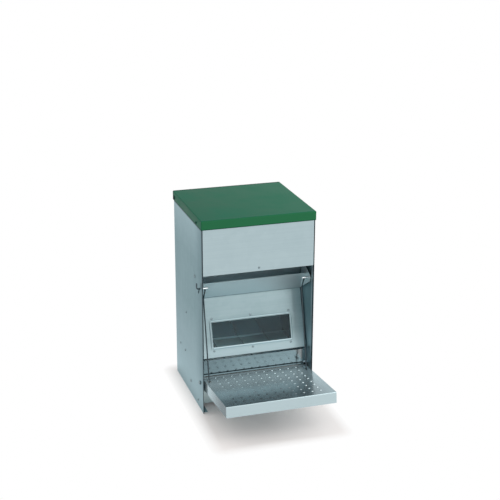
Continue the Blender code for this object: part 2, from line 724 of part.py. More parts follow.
def treadle(axis):
    """The treadle: a bumped plate with a front lip, side flanges that run back as arms, and its weight."""
    front, top = TREADLE_FRONT + HALF, TREADLE_TOP - HALF
    path = [(front, TREADLE_LIP_LOW), (front, top), (TREADLE_REAR, top)]
    plate = solid("treadle", prism(strip(path), 0, -TREADLE_HALF, TREADLE_HALF), axis, "galvanised_sheet")
    arm = [
        (TREADLE_FRONT + SHEET / 4, TREADLE_LIP_LOW),
        (0.0, TREADLE_LIP_LOW),
        (ARM_ELBOW, ARM_LOW),
        (ARM_END, ARM_LOW),
        (ARM_END, ARM_TOP),
        (ARM_ELBOW, ARM_TOP),
        (TREADLE_REAR, top),
        (TREADLE_FRONT + 3 * SHEET, top),
        (TREADLE_FRONT + SHEET / 4, top - 3 * SHEET),
    ]
    arms = prism(arm, 0, TREADLE_HALF - SHEET, TREADLE_HALF)
    add(plate, merged([mirrored(arms, side) for _, side in SIDES]))
    profile = [
        (-BITE, BUMP_RADIUS),
        (0.0, BUMP_RADIUS),
        (BUMP_HEIGHT, BUMP_CROWN),
    ]
    bumps = []
    for row in range(BUMP_ROWS):
        for column in range(BUMP_COLUMNS):
            x = (column - (BUMP_COLUMNS - 1) / 2) * BUMP_PITCH_X
            y = TREADLE_FRONT + BUMP_FIRST + row * BUMP_PITCH_Y
            bumps.append(turned(profile, (x, y, TREADLE_TOP), (0.0, 0.0, 1.0), BUMP_SIDES))
    add(plate, merged(bumps))
    wide, long = ROD_SLOT
    tilt = math.cos(TREADLE_TILT)
    slot_y = (ROD_FOOT[0] - TREADLE_PIVOT[0]) * tilt + BUMP_HEIGHT
    slot = box(
        (ROD_X - wide / 2, slot_y - long / 2, top - 3 * SHEET),
        (ROD_X + wide / 2, slot_y + long / 2, top + 3 * SHEET),
    )
    pivot = disc((0.0, 0.0), PIN_SHANK + SLACK, 0, TREADLE_HALF - 3 * SHEET, TREADLE_HALF + SHEET)
    bolt = disc(WEIGHT_BOLT, RIVET_SHANK + CLEAR, 0, TREADLE_HALF - 3 * SHEET, TREADLE_HALF + SHEET)
    cut(plate, merged([mirrored(shape, side) for shape in (slot, pivot, bolt) for _, side in SIDES]))
    inside = TREADLE_HALF - SHEET - CLEAR
    bar = box((-inside, WEIGHT_Y[0], WEIGHT_Z[0]), (inside, WEIGHT_Y[1], WEIGHT_Z[1]))
    weight = solid("counterweight", bar, axis, "bar_steel")
    bore = disc(WEIGHT_BOLT, RIVET_SHANK + CLEAR, 0, inside - WEIGHT_BOLT_DEEP - CLEAR, inside + SHEET)
    cut(weight, merged([mirrored(bore, side) for _, side in SIDES]))
    for word, side in SIDES:
        head = TREADLE_HALF + CLEAR
        profile = stepped(
            (inside - WEIGHT_BOLT_DEEP, head, RIVET_SHANK),
            (head, head + 2 * SHEET, PIN_HEAD),
        )
        spun_across(f"counterweight_bolt_{word}", profile, WEIGHT_BOLT, side, axis, "zinc_wire")


def flap(axis):
    """The V-folded flap with its window, its ears and the screws that hold the pane."""
    place = np.array([0.0, *FLAP_HINGE])

    def local(shape):
        return shape[0] - place, shape[1]

    path = [FLAP_FOOT, FLAP_BEND, FLAP_HEAD]
    sheet = solid("flap", local(prism(strip(path), 0, -FLAP_HALF, FLAP_HALF)), axis, "galvanised_sheet")
    rim = (WINDOW_ALONG[0] - RIM_WIDTH, WINDOW_ALONG[1] + RIM_WIDTH)
    add(sheet, local(flap_slab(WINDOW_HALF + RIM_WIDTH, rim, (HALF - BITE, HALF + RIM_PROUD))))
    reach = 4 * SHEET
    behind = HALF + CLEAR + PANE_THICK
    screws = [(x, along) for along in (SCREW_LOW, SCREW_HIGH) for x in (-SCREW_X, 0.0, SCREW_X)]
    out = np.subtract(on_flap(0.0, 1.0), FLAP_FOOT)
    holes = [flap_slab(WINDOW_HALF, WINDOW_ALONG, (-reach, reach))]
    bores = []
    for x, along in screws:
        profile = [(-reach, RIVET_SHANK + CLEAR), (reach, RIVET_SHANK + CLEAR)]
        bores.append(turned(profile, (x, *on_flap(along, 0.0)), (0.0, *out)))
    cut(sheet, local(merged(holes + bores)))
    pane = flap_slab(PANE_HALF, PANE_ALONG, (-behind, -HALF - CLEAR))
    glass = solid("window_pane", local(pane), axis, "clear_acrylic")
    cut(glass, local(merged(bores)))
    front, back = HALF + CLEAR, -behind - CLEAR
    for number, (x, along) in enumerate(screws, 1):
        profile = stepped(
            (back - RIVET_HEAD_HIGH, back, RIVET_TAIL),
            (back, front, RIVET_SHANK),
            (front, front + RIVET_HEAD_HIGH / 2, RIVET_HEAD),
        )
        profile.append((front + RIVET_HEAD_HIGH, RIVET_HEAD / 2))
        screw = turned(profile, (x, *on_flap(along, 0.0)), (0.0, *out))
        solid(f"window_screw_{number}", local(screw), axis, "zinc_wire")
    for word, side in SIDES:
        ear = prism(ear_outline(), 0, EAR_X, EAR_X + SHEET)
        made = solid(f"flap_ear_{word}", local(mirrored(ear, side)), axis, "galvanised_sheet")
        pin = disc(ROD_PIN, ROD_WIRE + SLACK, 0, EAR_X - SHEET, EAR_X + 2 * SHEET)
        hinge = disc(FLAP_HINGE, PIN_SHANK + SLACK, 0, EAR_X - SHEET, EAR_X + 2 * SHEET)
        cut(made, local(mirrored(merged([pin, hinge]), side)))


def pull_rod(word, side, axis):
    """A bent wire from the flap's ear down to the treadle."""
    path = np.array(
        [
            (ROD_TIP_X, ROD_PIN[0], ROD_PIN[1] + ROD_TIP_RISE),
            (ROD_TIP_X, *ROD_PIN),
            (ROD_X, *ROD_PIN),
            (ROD_X, *ROD_KINK),
            (ROD_X, *ROD_FOOT),
            (ROD_X - ROD_HOOK, *ROD_FOOT),
        ]
    )
    points, faces = tube(path, ROD_WIRE, ROD_BEND)
    shape = points - np.array([0.0, *ROD_PIN]), faces
    solid(f"pull_rod_{word}", mirrored(shape, side), axis, "zinc_wire")


def footprint_centre():
    """How far the footprint's middle lies behind the housing's front edges."""
    cos, sin = math.cos(TREADLE_TILT), math.sin(TREADLE_TILT)
    front = TREADLE_PIVOT[0] + TREADLE_FRONT * cos + TREADLE_LIP_LOW * sin
    return (front + BODY_DEPTH + LID_OVERHANG) / 2


def build():
    """Builds the whole feeder."""
    clear_scene()
    housing = empty("feeder", (0.0, -footprint_centre(), 0.0))
    side_panels(housing)
    back_panel(housing)
    front_panel(housing)
    hopper_baffle(housing)
    feed_trough(housing)
    kick_panel(housing)
    feed_grid(housing)
    side_fixings(housing)
    lid(empty("lid_axis", (0.0, *LID_PIVOT), housing))
    treadle(empty("treadle_axis", (0.0, *TREADLE_PIVOT), housing, -TREADLE_TILT))
    flap_axis = empty("flap_axis", (0.0, *FLAP_HINGE), housing)
    flap(flap_axis)
    pin_place = np.subtract(ROD_PIN, FLAP_HINGE)
    for word, side in SIDES:
        pull_rod(word, side, empty(f"pull_rod_axis_{word}", (0.0, *pin_place), flap_axis))


build()
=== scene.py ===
"""Looks of the treadle-operated poultry feeder: finishes, fine pieces, light, floor and camera."""

import logging
import math
from collections.abc import Iterable
from dataclasses import dataclass, replace
from enum import Enum

import bmesh
import bpy
import numpy as np
from mathutils import Matrix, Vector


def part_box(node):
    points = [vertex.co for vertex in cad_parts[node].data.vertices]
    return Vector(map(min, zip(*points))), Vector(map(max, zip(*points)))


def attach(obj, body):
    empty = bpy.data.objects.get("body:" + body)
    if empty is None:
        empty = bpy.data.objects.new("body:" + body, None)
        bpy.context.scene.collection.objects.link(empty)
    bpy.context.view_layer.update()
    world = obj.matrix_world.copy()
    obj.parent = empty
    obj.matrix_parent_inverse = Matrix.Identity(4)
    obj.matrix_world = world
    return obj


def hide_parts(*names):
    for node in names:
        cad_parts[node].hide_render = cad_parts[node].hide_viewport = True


log = logging.getLogger("feeder_scene")
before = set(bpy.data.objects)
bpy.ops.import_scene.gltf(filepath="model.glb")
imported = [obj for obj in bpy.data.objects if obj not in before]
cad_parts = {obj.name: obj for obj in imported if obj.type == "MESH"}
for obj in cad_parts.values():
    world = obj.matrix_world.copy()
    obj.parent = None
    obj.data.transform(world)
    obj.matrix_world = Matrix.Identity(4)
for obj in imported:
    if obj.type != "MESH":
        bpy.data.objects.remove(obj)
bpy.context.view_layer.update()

Color = tuple[float, float, float, float]
Point = tuple[float, float, float]
Flat = tuple[float, float]
Socket = bpy.types.NodeSocket
IMAGE_SIDE = 500.0
SENSOR_MM = 36.0
WHITE: Color = (1.0, 1.0, 1.0, 1.0)
# The housing's front edges lie this far in front of the origin.
FRONT_SHIFT = 0.0472131
# Thickness of the folded sheet, and half the width of the lid that the hinge rivets hold.
SHEET_THICK = 0.001
LID_HALF = 0.1520
ACROSS: Point = (1.0, 0.0, 0.0)
FORWARD: Point = (0.0, -1.0, 0.0)
# A direction that no wire of the feeder runs along.
ODD_WAY = np.array([0.31, 0.57, 0.76])
# Turns a profile's distances round, so that it points the other way.
FACING_BACK = (-1.0, 1.0)
# Points closer than this are merged, and edges that turn by less than this are shaded smooth.
MERGE = 0.00001
SMOOTH_UNDER = math.radians(38.0)
# Rings over which a wire's rounded end closes, and points along a straight wire.
CAP_STEPS = 5
RUN_STEPS = 9
SIDES = (("left", -1.0), ("right", 1.0))
# Values that a pattern runs through: from end to end, and where Blender's noise mostly stays.
WHOLE: Flat = (0.0, 1.0)
NOISE_SPAN: Flat = (0.3, 0.7)


class Slot(Enum):
    """The record's material slots, passed along with new pieces but not read."""

    SHEET = "galvanised_sheet"
    PAINT = "green_paint"
    WIRE = "zinc_wire"


class Body(Enum):
    """The feeder's bodies: the housing and what moves on it."""

    HOUSING = "housing"
    LID = "lid_tray"
    TREADLE = "treadle_board"
    FLAP = "flap_door"
    ROD_LEFT = "rod_left"
    ROD_RIGHT = "rod_right"


class Axis(Enum):
    """An axis of the feeder."""

    X = "X"
    Y = "Y"
    Z = "Z"


@dataclass(frozen=True)
class Fade:
    """A change of colour along one axis: a paler or darker stretch that matches a tone seen on the feeder,
    mostly painted light and shade.

    Attributes:
        axis: The axis that it runs along.
        full: Place where the colour is full.
        gone: Place where it has faded out.
        shade: The colour.
        share: Most of it that shows.
    """

    axis: Axis
    full: float
    gone: float
    shade: Color
    share: float = 1.0


@dataclass(frozen=True)
class MetalFinish:
    """A zinc-coated or bare metal surface.

    Attributes:
        name: The material's name.
        dark: Colour of the duller patches.
        light: Colour of the brighter patches.
        crystal: Crystals per metre.
        grain: Brush lines per metre along X, Y and Z.
        rough_low: Roughness of the shiniest patches.
        rough_high: Roughness of the dullest patches.
        bump: Height of the coating's unevenness in metres.
        bump_share: Strength of that unevenness.
        metallic: Metallic value of the shader.
        glance: Tint of what the metal mirrors at a glancing angle.
        fades: Changes of colour along the piece, mostly painted light and shade, laid over each other in
            order.
    """

    name: str
    dark: Color
    light: Color
    crystal: float
    grain: Point
    rough_low: float
    rough_high: float
    bump: float
    bump_share: float = 0.5
    metallic: float = 1.0
    glance: Color = (0.62, 0.66, 0.68, 1.0)
    fades: tuple[Fade, ...] = ()


@dataclass(frozen=True)
class PaintFinish:
    """A coat of paint on sheet metal.

    Attributes:
        name: The material's name.
        deep: Colour where the coat is thick.
        pale: Colour where the coat is dusty or thin.
        rough_low: Roughness of the glossiest patches.
        rough_high: Roughness of the dullest patches.
        clouds: Thick and thin patches per metre, and their octaves.
        peel: Orange-peel cells per metre, and their octaves.
        bump: Height of the orange peel in metres.
        bump_share: Strength of the orange peel.
        gloss: Specular level of the shader.
        glance: Tint of what the paint mirrors.
        fades: Changes of colour along the piece, painted light and shade, laid over each other in order.
    """

    name: str
    deep: Color
    pale: Color
    rough_low: float
    rough_high: float
    clouds: Flat
    peel: Flat
    bump: float
    bump_share: float
    gloss: float
    glance: Color
    fades: tuple[Fade, ...] = ()


@dataclass(frozen=True)
class AcrylicFinish:
    """A clear window sheet with a faint haze.

    Attributes:
        name: The material's name.
        tint: Colour of the light that comes through.
        ior: Index of refraction.
        clouds: Patches of haze per metre, and their octaves.
        haze: Roughness of the clearest and of the haziest patches.
    """

    name: str
    tint: Color
    ior: float
    clouds: Flat
    haze: Flat


@dataclass(frozen=True)
class PlasticFinish:
    """A moulded plastic.

    Attributes:
        name: The material's name.
        dark: Colour of the duller specks.
        light: Colour of the brighter specks.
        specks: Specks per metre, and their octaves.
        rough: Roughness.
    """

    name: str
    dark: Color
    light: Color
    specks: Flat
    rough: float


Finish = MetalFinish | PaintFinish | AcrylicFinish | PlasticFinish


# Painted shade: the side and back panels are the fascia's zinc-coated sheet in a darker base colour.
SIDE_SHEET = MetalFinish(
    name="side_sheet",
    dark=(0.195, 0.296, 0.320, 1.0),
    light=(0.280, 0.392, 0.418, 1.0),
    crystal=70.0,
    grain=(60.0, 46.0, 1.6),
    rough_low=0.28,
    rough_high=0.38,
    bump=0.00002,
    glance=(0.66, 0.735, 0.76, 1.0),
    fades=(
        # Painted light: paler low down and near the top.
        Fade(Axis.Z, 0.15, 0.26, (0.330, 0.440, 0.475, 1.0), 0.85),
        Fade(Axis.Z, 0.50, 0.40, (0.370, 0.490, 0.525, 1.0), 0.85),
        # Painted shade: darker towards the front edge; painted light: palest at the foot.
        Fade(Axis.Y, -FRONT_SHIFT, 0.075 - FRONT_SHIFT, (0.132, 0.215, 0.245, 1.0), 0.80),
        Fade(Axis.Z, 0.03, 0.13, (0.430, 0.570, 0.610, 1.0), 0.80),
        # Painted shadow under the lid's skirt, and a dark band along the front edge.
        Fade(Axis.Z, 0.5005, 0.4990, (0.050, 0.085, 0.095, 1.0), 0.85),
        Fade(Axis.Y, 0.0040 - FRONT_SHIFT, 0.0060 - FRONT_SHIFT, (0.036, 0.054, 0.063, 1.0)),
    ),
)
RIGHT_SHEET = replace(
    SIDE_SHEET,
    name="right_side_sheet",
    fades=(
        # The left panel's painted light low down and near the top.
        *SIDE_SHEET.fades[:2],
        # Painted light: paler towards the foot.
        Fade(Axis.Z, 0.08, 0.24, (0.570, 0.710, 0.765, 1.0), 0.90),
        SIDE_SHEET.fades[-1],
    ),
)
FASCIA_SHEET = MetalFinish(
    name="fascia_sheet",
    dark=(0.410, 0.522, 0.555, 1.0),
    light=(0.475, 0.590, 0.620, 1.0),
    crystal=60.0,
    grain=(3.0, 60.0, 320.0),
    rough_low=0.30,
    rough_high=0.40,
    bump=0.00003,
)
FLAP_SHEET = MetalFinish(
    name="flap_sheet",
    dark=(0.255, 0.350, 0.372, 1.0),
    light=(0.325, 0.425, 0.448, 1.0),
    crystal=75.0,
    grain=(4.0, 90.0, 120.0),
    rough_low=0.28,
    rough_high=0.36,
    bump=0.00001,
    metallic=0.8,
    fades=(
        # Painted light: a paler lower edge; painted highlight: the fold and all the sheet above it much
        # brighter.
        Fade(Axis.Z, 0.150, 0.180, (0.400, 0.520, 0.550, 1.0), 0.8),
        Fade(Axis.Z, 0.292, 0.286, (0.820, 0.930, 0.950, 1.0), 0.95),
    ),
)
# Painted shade: the treadle is the fascia's zinc-coated sheet in a darker base colour.
TREAD_SHEET = MetalFinish(
    name="tread_sheet",
    dark=(0.225, 0.292, 0.315, 1.0),
    light=(0.285, 0.357, 0.380, 1.0),
    crystal=75.0,
    grain=(90.0, 4.0, 90.0),
    rough_low=0.16,
    rough_high=0.24,
    bump=0.00001,
    metallic=0.72,
    fades=(
        # Painted light: bright at the back; painted shade: dark towards the front.
        Fade(Axis.Y, -0.070, -0.160, (0.660, 0.835, 0.885, 1.0), 0.9),
        Fade(Axis.Y, -0.195, -0.160, (0.150, 0.195, 0.212, 1.0), 0.8),
        # Painted light: paler on the right; painted highlight: the bright front edge.
        Fade(Axis.X, 0.135, 0.060, (0.450, 0.580, 0.620, 1.0), 0.7),
        Fade(Axis.Y, -0.2362, -0.2350, (0.500, 0.620, 0.650, 1.0), 0.9),
    ),
)
# Painted highlight: the bumps are the fascia's zinc-coated sheet in a much paler base colour.
BUMP_SHEET = MetalFinish(
    name="bump_sheet",
    dark=(0.640, 0.760, 0.790, 1.0),
    light=(0.780, 0.880, 0.900, 1.0),
    crystal=300.0,
    grain=(90.0, 40.0, 90.0),
    rough_low=0.14,
    rough_high=0.22,
    bump=0.00001,
    fades=(
        # Painted shade: duller on the left and dark towards the front; painted light: brighter on the right.
        Fade(Axis.X, -0.020, 0.050, (0.400, 0.490, 0.515, 1.0), 0.75),
        Fade(Axis.Y, -0.130, -0.075, (0.250, 0.325, 0.350, 1.0), 0.9),
        Fade(Axis.Y, -0.185, -0.150, (0.062, 0.083, 0.096, 1.0), 0.9),
        Fade(Axis.X, 0.100, 0.030, (0.640, 0.750, 0.780, 1.0), 0.9),
    ),
)
# Painted shade: the kick panel is the fascia's zinc-coated sheet in a much darker base colour.
KICK_SHEET = MetalFinish(
    name="kick_sheet",
    dark=(0.160, 0.187, 0.195, 1.0),
    light=(0.206, 0.234, 0.242, 1.0),
    crystal=75.0,
    grain=(4.0, 80.0, 110.0),
    rough_low=0.13,
    rough_high=0.18,
    bump=0.00001,
    fades=(
        # Painted shade: darker on the left; painted light: paler on the right.
        Fade(Axis.X, -0.140, -0.030, (0.120, 0.140, 0.147, 1.0), 0.75),
        Fade(Axis.X, 0.130, 0.040, (0.270, 0.306, 0.317, 1.0), 0.75),
        # A painted shadow line above the treadle, the plain sheet under it, and the pale lower part in
        # painted light.
        Fade(Axis.Z, 0.0948, 0.0955, (0.012, 0.017, 0.020, 1.0)),
        Fade(Axis.Z, 0.0912, 0.0918, (0.170, 0.195, 0.202, 1.0)),
        Fade(Axis.Z, 0.050, 0.080, (0.740, 0.920, 0.940, 1.0), 0.9),
    ),
)
BAFFLE_SHEET = MetalFinish(
    name="baffle_sheet",
    dark=(0.470, 0.600, 0.650, 1.0),
    light=(0.590, 0.720, 0.770, 1.0),
    crystal=75.0,
    grain=(4.0, 80.0, 110.0),
    rough_low=0.32,
    rough_high=0.46,
    bump=0.00002,
    metallic=0.45,
)
TROUGH_SHEET = MetalFinish(
    name="trough_sheet",
    dark=(0.440, 0.580, 0.640, 1.0),
    light=(0.530, 0.670, 0.730, 1.0),
    crystal=75.0,
    grain=(4.0, 80.0, 110.0),
    rough_low=0.30,
    rough_high=0.42,
    bump=0.00002,
    metallic=0.0,
    fades=(
        # Painted light: a pale left half; painted shade: dark walls above the floor and a duller right half.
        Fade(Axis.X, 0.010, 0.080, (0.920, 0.980, 0.990, 1.0), 0.95),
        Fade(Axis.Z, 0.1010, 0.0992, (0.125, 0.220, 0.280, 1.0), 0.95),
        Fade(Axis.X, 0.100, 0.000, (0.470, 0.640, 0.710, 1.0), 0.30),
    ),
)
ZINC_WIRE = MetalFinish(
    name="zinc_wire",
    dark=(0.34, 0.45, 0.50, 1.0),
    light=(0.48, 0.60, 0.65, 1.0),
    crystal=420.0,
    grain=(120.0, 120.0, 120.0),
    rough_low=0.24,
    rough_high=0.38,
    bump=0.00002,
    metallic=0.6,
)
FIXING_ZINC = MetalFinish(
    name="fixing_zinc",
    dark=(0.15, 0.20, 0.22, 1.0),
    light=(0.32, 0.39, 0.41, 1.0),
    crystal=420.0,
    grain=(120.0, 120.0, 120.0),
    rough_low=0.20,
    rough_high=0.34,
    bump=0.00002,
)
ROD_WIRE = MetalFinish(
    name="rod_wire",
    dark=(0.055, 0.075, 0.088, 1.0),
    light=(0.130, 0.160, 0.175, 1.0),
    crystal=420.0,
    grain=(140.0, 140.0, 30.0),
    rough_low=0.24,
    rough_high=0.40,
    bump=0.00002,
)
BRIGHT_ZINC = MetalFinish(
    name="bright_zinc",
    dark=(0.70, 0.76, 0.78, 1.0),
    light=(0.86, 0.90, 0.91, 1.0),
    crystal=420.0,
    grain=(160.0, 160.0, 160.0),
    rough_low=0.12,
    rough_high=0.22,
    bump=0.00002,
)
DARK_STEEL = MetalFinish(
    name="dark_steel",
    dark=(0.010, 0.016, 0.017, 1.0),
    light=(0.030, 0.040, 0.042, 1.0),
    crystal=420.0,
    grain=(120.0, 120.0, 120.0),
    rough_low=0.34,
    rough_high=0.50,
    bump=0.00002,
    glance=(0.20, 0.22, 0.23, 1.0),
)
BAR_STEEL = MetalFinish(
    name="bar_steel",
    dark=(0.13, 0.14, 0.15, 1.0),
    light=(0.22, 0.23, 0.24, 1.0),
    crystal=160.0,
    grain=(3.0, 90.0, 90.0),
    rough_low=0.42,
    rough_high=0.62,
    bump=0.00010,
)
GREEN_PAINT = PaintFinish(
    name="green_paint",
    deep=(0.010, 0.100, 0.056, 1.0),
    pale=(0.013, 0.121, 0.070, 1.0),
    rough_low=0.34,
    rough_high=0.46,
    clouds=(14.0, 4.0),
    peel=(900.0, 2.0),
    bump=0.00002,
    bump_share=0.4,
    gloss=0.032,
    glance=(0.59, 0.46, 1.0, 1.0),
    fades=(
        # Painted light: paler on the right.
        Fade(Axis.X, 0.150, -0.150, (0.019, 0.146, 0.082, 1.0), 0.7),
        # Painted light: a brighter green on the front skirt; painted shade: the dark lower edge and the dark
        # back edge.
        Fade(Axis.Y, -0.0498, -0.0486, (0.023, 0.140, 0.055, 1.0), 0.8),
        Fade(Axis.Z, 0.5056, 0.5070, (0.006, 0.040, 0.030, 1.0), 0.8),
        Fade(Axis.Y, 0.2360, 0.2340, (0.008, 0.022, 0.020, 1.0), 0.75),
    ),
)
CLEAR_ACRYLIC = AcrylicFinish(
    name="clear_acrylic",
    tint=(0.76, 0.97, 1.00, 1.0),
    ior=1.3,
    clouds=(30.0, 2.0),
    haze=(0.0, 0.04),
)
PALE_PLASTIC = PlasticFinish(
    name="polymer_bush",
    dark=(0.48, 0.48, 0.44, 1.0),
    light=(0.60, 0.60, 0.56, 1.0),
    specks=(600.0, 2.0),
    rough=0.5,
)


class NodeTree:
    """Short calls for wiring a shader tree."""

    def __init__(self, tree: bpy.types.NodeTree) -> None:
        """Keeps the tree that the nodes go into."""
        self.tree = tree

    def node(self, kind: str, **settings: object) -> bpy.types.Node:
        """Adds a node.

        Args:
            kind: Blender's node type name.
            settings: Properties of the node.

        Returns:
            The new node.
        """
        made = self.tree.nodes.new(kind)
        for name, value in settings.items():
            setattr(made, name, value)
        return made

    def link(self, out: Socket, into: Socket) -> None:
        """Joins two sockets."""
        self.tree.links.new(out, into)

    def place(self) -> Socket:
        """Object coordinates."""
        return self.node("ShaderNodeTexCoord").outputs["Object"]

    def parted(self, vector: Socket) -> bpy.types.NodeOutputs:
        """Splits a vector.

        Args:
            vector: Socket of the vector.

        Returns:
            The sockets X, Y and Z.
        """
        made = self.node("ShaderNodeSeparateXYZ")
        self.link(vector, made.inputs["Vector"])
        return made.outputs

    def mapped(self, value: Socket, source: Flat, target: Flat) -> Socket:
        """Maps a value from one range to another.

        Args:
            value: Socket to read.
            source: Lowest and highest value expected.
            target: Values that those become.

        Returns:
            The mapped value's socket.
        """
        made = self.node("ShaderNodeMapRange")
        made.inputs["From Min"].default_value, made.inputs["From Max"].default_value = source
        made.inputs["To Min"].default_value, made.inputs["To Max"].default_value = target
        self.link(value, made.inputs["Value"])
        return made.outputs["Result"]

    def maths(self, how: str, *values: Socket | float) -> Socket:
        """Works on one to three values.

        Args:
            how: The Math node's operation.
            values: Sockets or plain numbers.

        Returns:
            The result's socket.
        """
        made = self.node("ShaderNodeMath", operation=how)
        for place, value in zip(made.inputs, values):
            if isinstance(value, (int, float)):
                place.default_value = value
            else:
                self.link(value, place)
        return made.outputs["Value"]

    def vectors(self, how: str, *values: Socket | Point) -> bpy.types.NodeOutputs:
        """Works on one or two vectors.

        Args:
            how: The Vector Math node's operation.
            values: Sockets or plain vectors.

        Returns:
            The sockets Vector and Value.
        """
        made = self.node("ShaderNodeVectorMath", operation=how)
        for place, value in zip(made.inputs, values):
            if isinstance(value, tuple):
                place.default_value = value
            else:
                self.link(value, place)
        return made.outputs

    def blended(self, factor: Socket, low: Color | Socket, high: Color) -> Socket:
        """Mixes two colours by a factor.

        Args:
            factor: Socket from 0 to 1.
            low: Colour at 0, or a socket that gives it.
            high: Colour at 1.

        Returns:
            The colour's socket.
        """
        made = self.node("ShaderNodeMix", data_type="RGBA")
        shades = {s.name: s for s in made.inputs if s.type == "RGBA"}
        shades["B"].default_value = high
        if isinstance(low, tuple):
            shades["A"].default_value = low
        else:
            self.link(low, shades["A"])
        self.link(factor, made.inputs["Factor"])
        return next(s for s in made.outputs if s.type == "RGBA")

    def faded(self, shade: Socket, place: Socket, fades: tuple[Fade, ...]) -> Socket:
        """Lays changes of colour over a colour, one after another.

        Args:
            shade: The colour's socket.
            place: Socket of the coordinates.
            fades: The changes.

        Returns:
            The last colour's socket.
        """
        if not fades:
            return shade
        along = self.parted(place)
        for fade in fades:
            share = self.mapped(along[fade.axis.value], (fade.full, fade.gone), (fade.share, 0.0))
            shade = self.blended(share, shade, fade.shade)
        return shade

    def noise(self, place: Socket, scale: float, detail: float) -> Socket:
        """Cloudy noise.

        Args:
            place: Socket of the coordinates.
            scale: Clouds per metre.
            detail: Octaves.

        Returns:
            The noise value's socket.
        """
        made = self.node("ShaderNodeTexNoise")
        made.inputs["Scale"].default_value = scale
        made.inputs["Detail"].default_value = detail
        self.link(place, made.inputs["Vector"])
        return made.outputs["Fac"]

    def bumped(self, height: Socket, distance: float, strength: float) -> Socket:
        """A normal that follows a height.

        Args:
            height: The height's socket, from 0 to 1.
            distance: Height in metres at 1.
            strength: Share of it that shows.

        Returns:
            The normal's socket.
        """
        made = self.node("ShaderNodeBump")
        made.inputs["Distance"].default_value = distance
        made.inputs["Strength"].default_value = strength
        self.link(height, made.inputs["Height"])
        return made.outputs["Normal"]


class SpangleGroup:
    """The shared pattern of zinc-coated metal, crystals under brush lines, as one node group.

    Attributes:
        NAME: The group's name.
        CLOUDS: Clouds per metre, and their octaves.
        BRUSH: Scale and octaves of the brush lines, on coordinates that the grain has stretched.
        CRYSTAL_TONE: Share of the crystals in the tone.
        CLOUD_TONE: Share of the clouds in the tone.
        BRUSH_TONE: Share of the brush lines in the tone.
        CRYSTAL_GLOSS: Share of the crystals in the gloss; the clouds have the rest.
        BRUSH_HEIGHT: Height of the brush lines beside that of the clouds.
    """

    NAME = "zinc_spangle"
    CLOUDS: Flat = (9.0, 4.0)
    BRUSH: Flat = (1.0, 3.0)
    CRYSTAL_TONE = 0.22
    CLOUD_TONE = 0.38
    BRUSH_TONE = 0.40
    CRYSTAL_GLOSS = 0.35
    BRUSH_HEIGHT = 0.35

    @classmethod
    def tree(cls) -> bpy.types.NodeTree:
        """Makes the group on first use.

        Returns:
            The group: inputs Crystal and Grain, outputs Tone, Gloss and Height.
        """
        found = bpy.data.node_groups.get(cls.NAME)
        if found:
            return found
        group = bpy.data.node_groups.new(cls.NAME, "ShaderNodeTree")
        group.interface.new_socket("Crystal", in_out="INPUT", socket_type="NodeSocketFloat")
        group.interface.new_socket("Grain", in_out="INPUT", socket_type="NodeSocketVector")
        for name in ("Tone", "Gloss", "Height"):
            group.interface.new_socket(name, in_out="OUTPUT", socket_type="NodeSocketFloat")
        cls.wire(NodeTree(group))
        return group

    @classmethod
    def wire(cls, kit: NodeTree) -> None:
        """Puts the pattern between the group's inputs and outputs.

        Args:
            kit: The group's tree.
        """
        source, sink = kit.node("NodeGroupInput"), kit.node("NodeGroupOutput")
        place = kit.place()
        crystals = kit.node("ShaderNodeTexVoronoi", feature="F1")
        kit.link(place, crystals.inputs["Vector"])
        kit.link(source.outputs["Crystal"], crystals.inputs["Scale"])
        split = kit.node("ShaderNodeSeparateColor")
        kit.link(crystals.outputs["Color"], split.inputs["Color"])
        cloud = kit.noise(place, *cls.CLOUDS)
        along = kit.vectors("MULTIPLY", place, source.outputs["Grain"])
        brushed = kit.noise(along["Vector"], *cls.BRUSH)
        crystal_part = kit.mapped(split.outputs["Red"], WHOLE, (0.0, cls.CRYSTAL_TONE))
        cloud_part = kit.mapped(cloud, NOISE_SPAN, (0.0, cls.CLOUD_TONE))
        brush_part = kit.mapped(brushed, NOISE_SPAN, (0.0, cls.BRUSH_TONE))
        tone = kit.maths("ADD", kit.maths("ADD", crystal_part, cloud_part), brush_part)
        cloud_gloss = kit.maths("MULTIPLY", cloud, 1.0 - cls.CRYSTAL_GLOSS)
        gloss = kit.maths("MULTIPLY_ADD", split.outputs["Green"], cls.CRYSTAL_GLOSS, cloud_gloss)
        height = kit.maths("MULTIPLY_ADD", brushed, cls.BRUSH_HEIGHT, cloud)
        kit.link(tone, sink.inputs["Tone"])
        kit.link(gloss, sink.inputs["Gloss"])
        kit.link(height, sink.inputs["Height"])


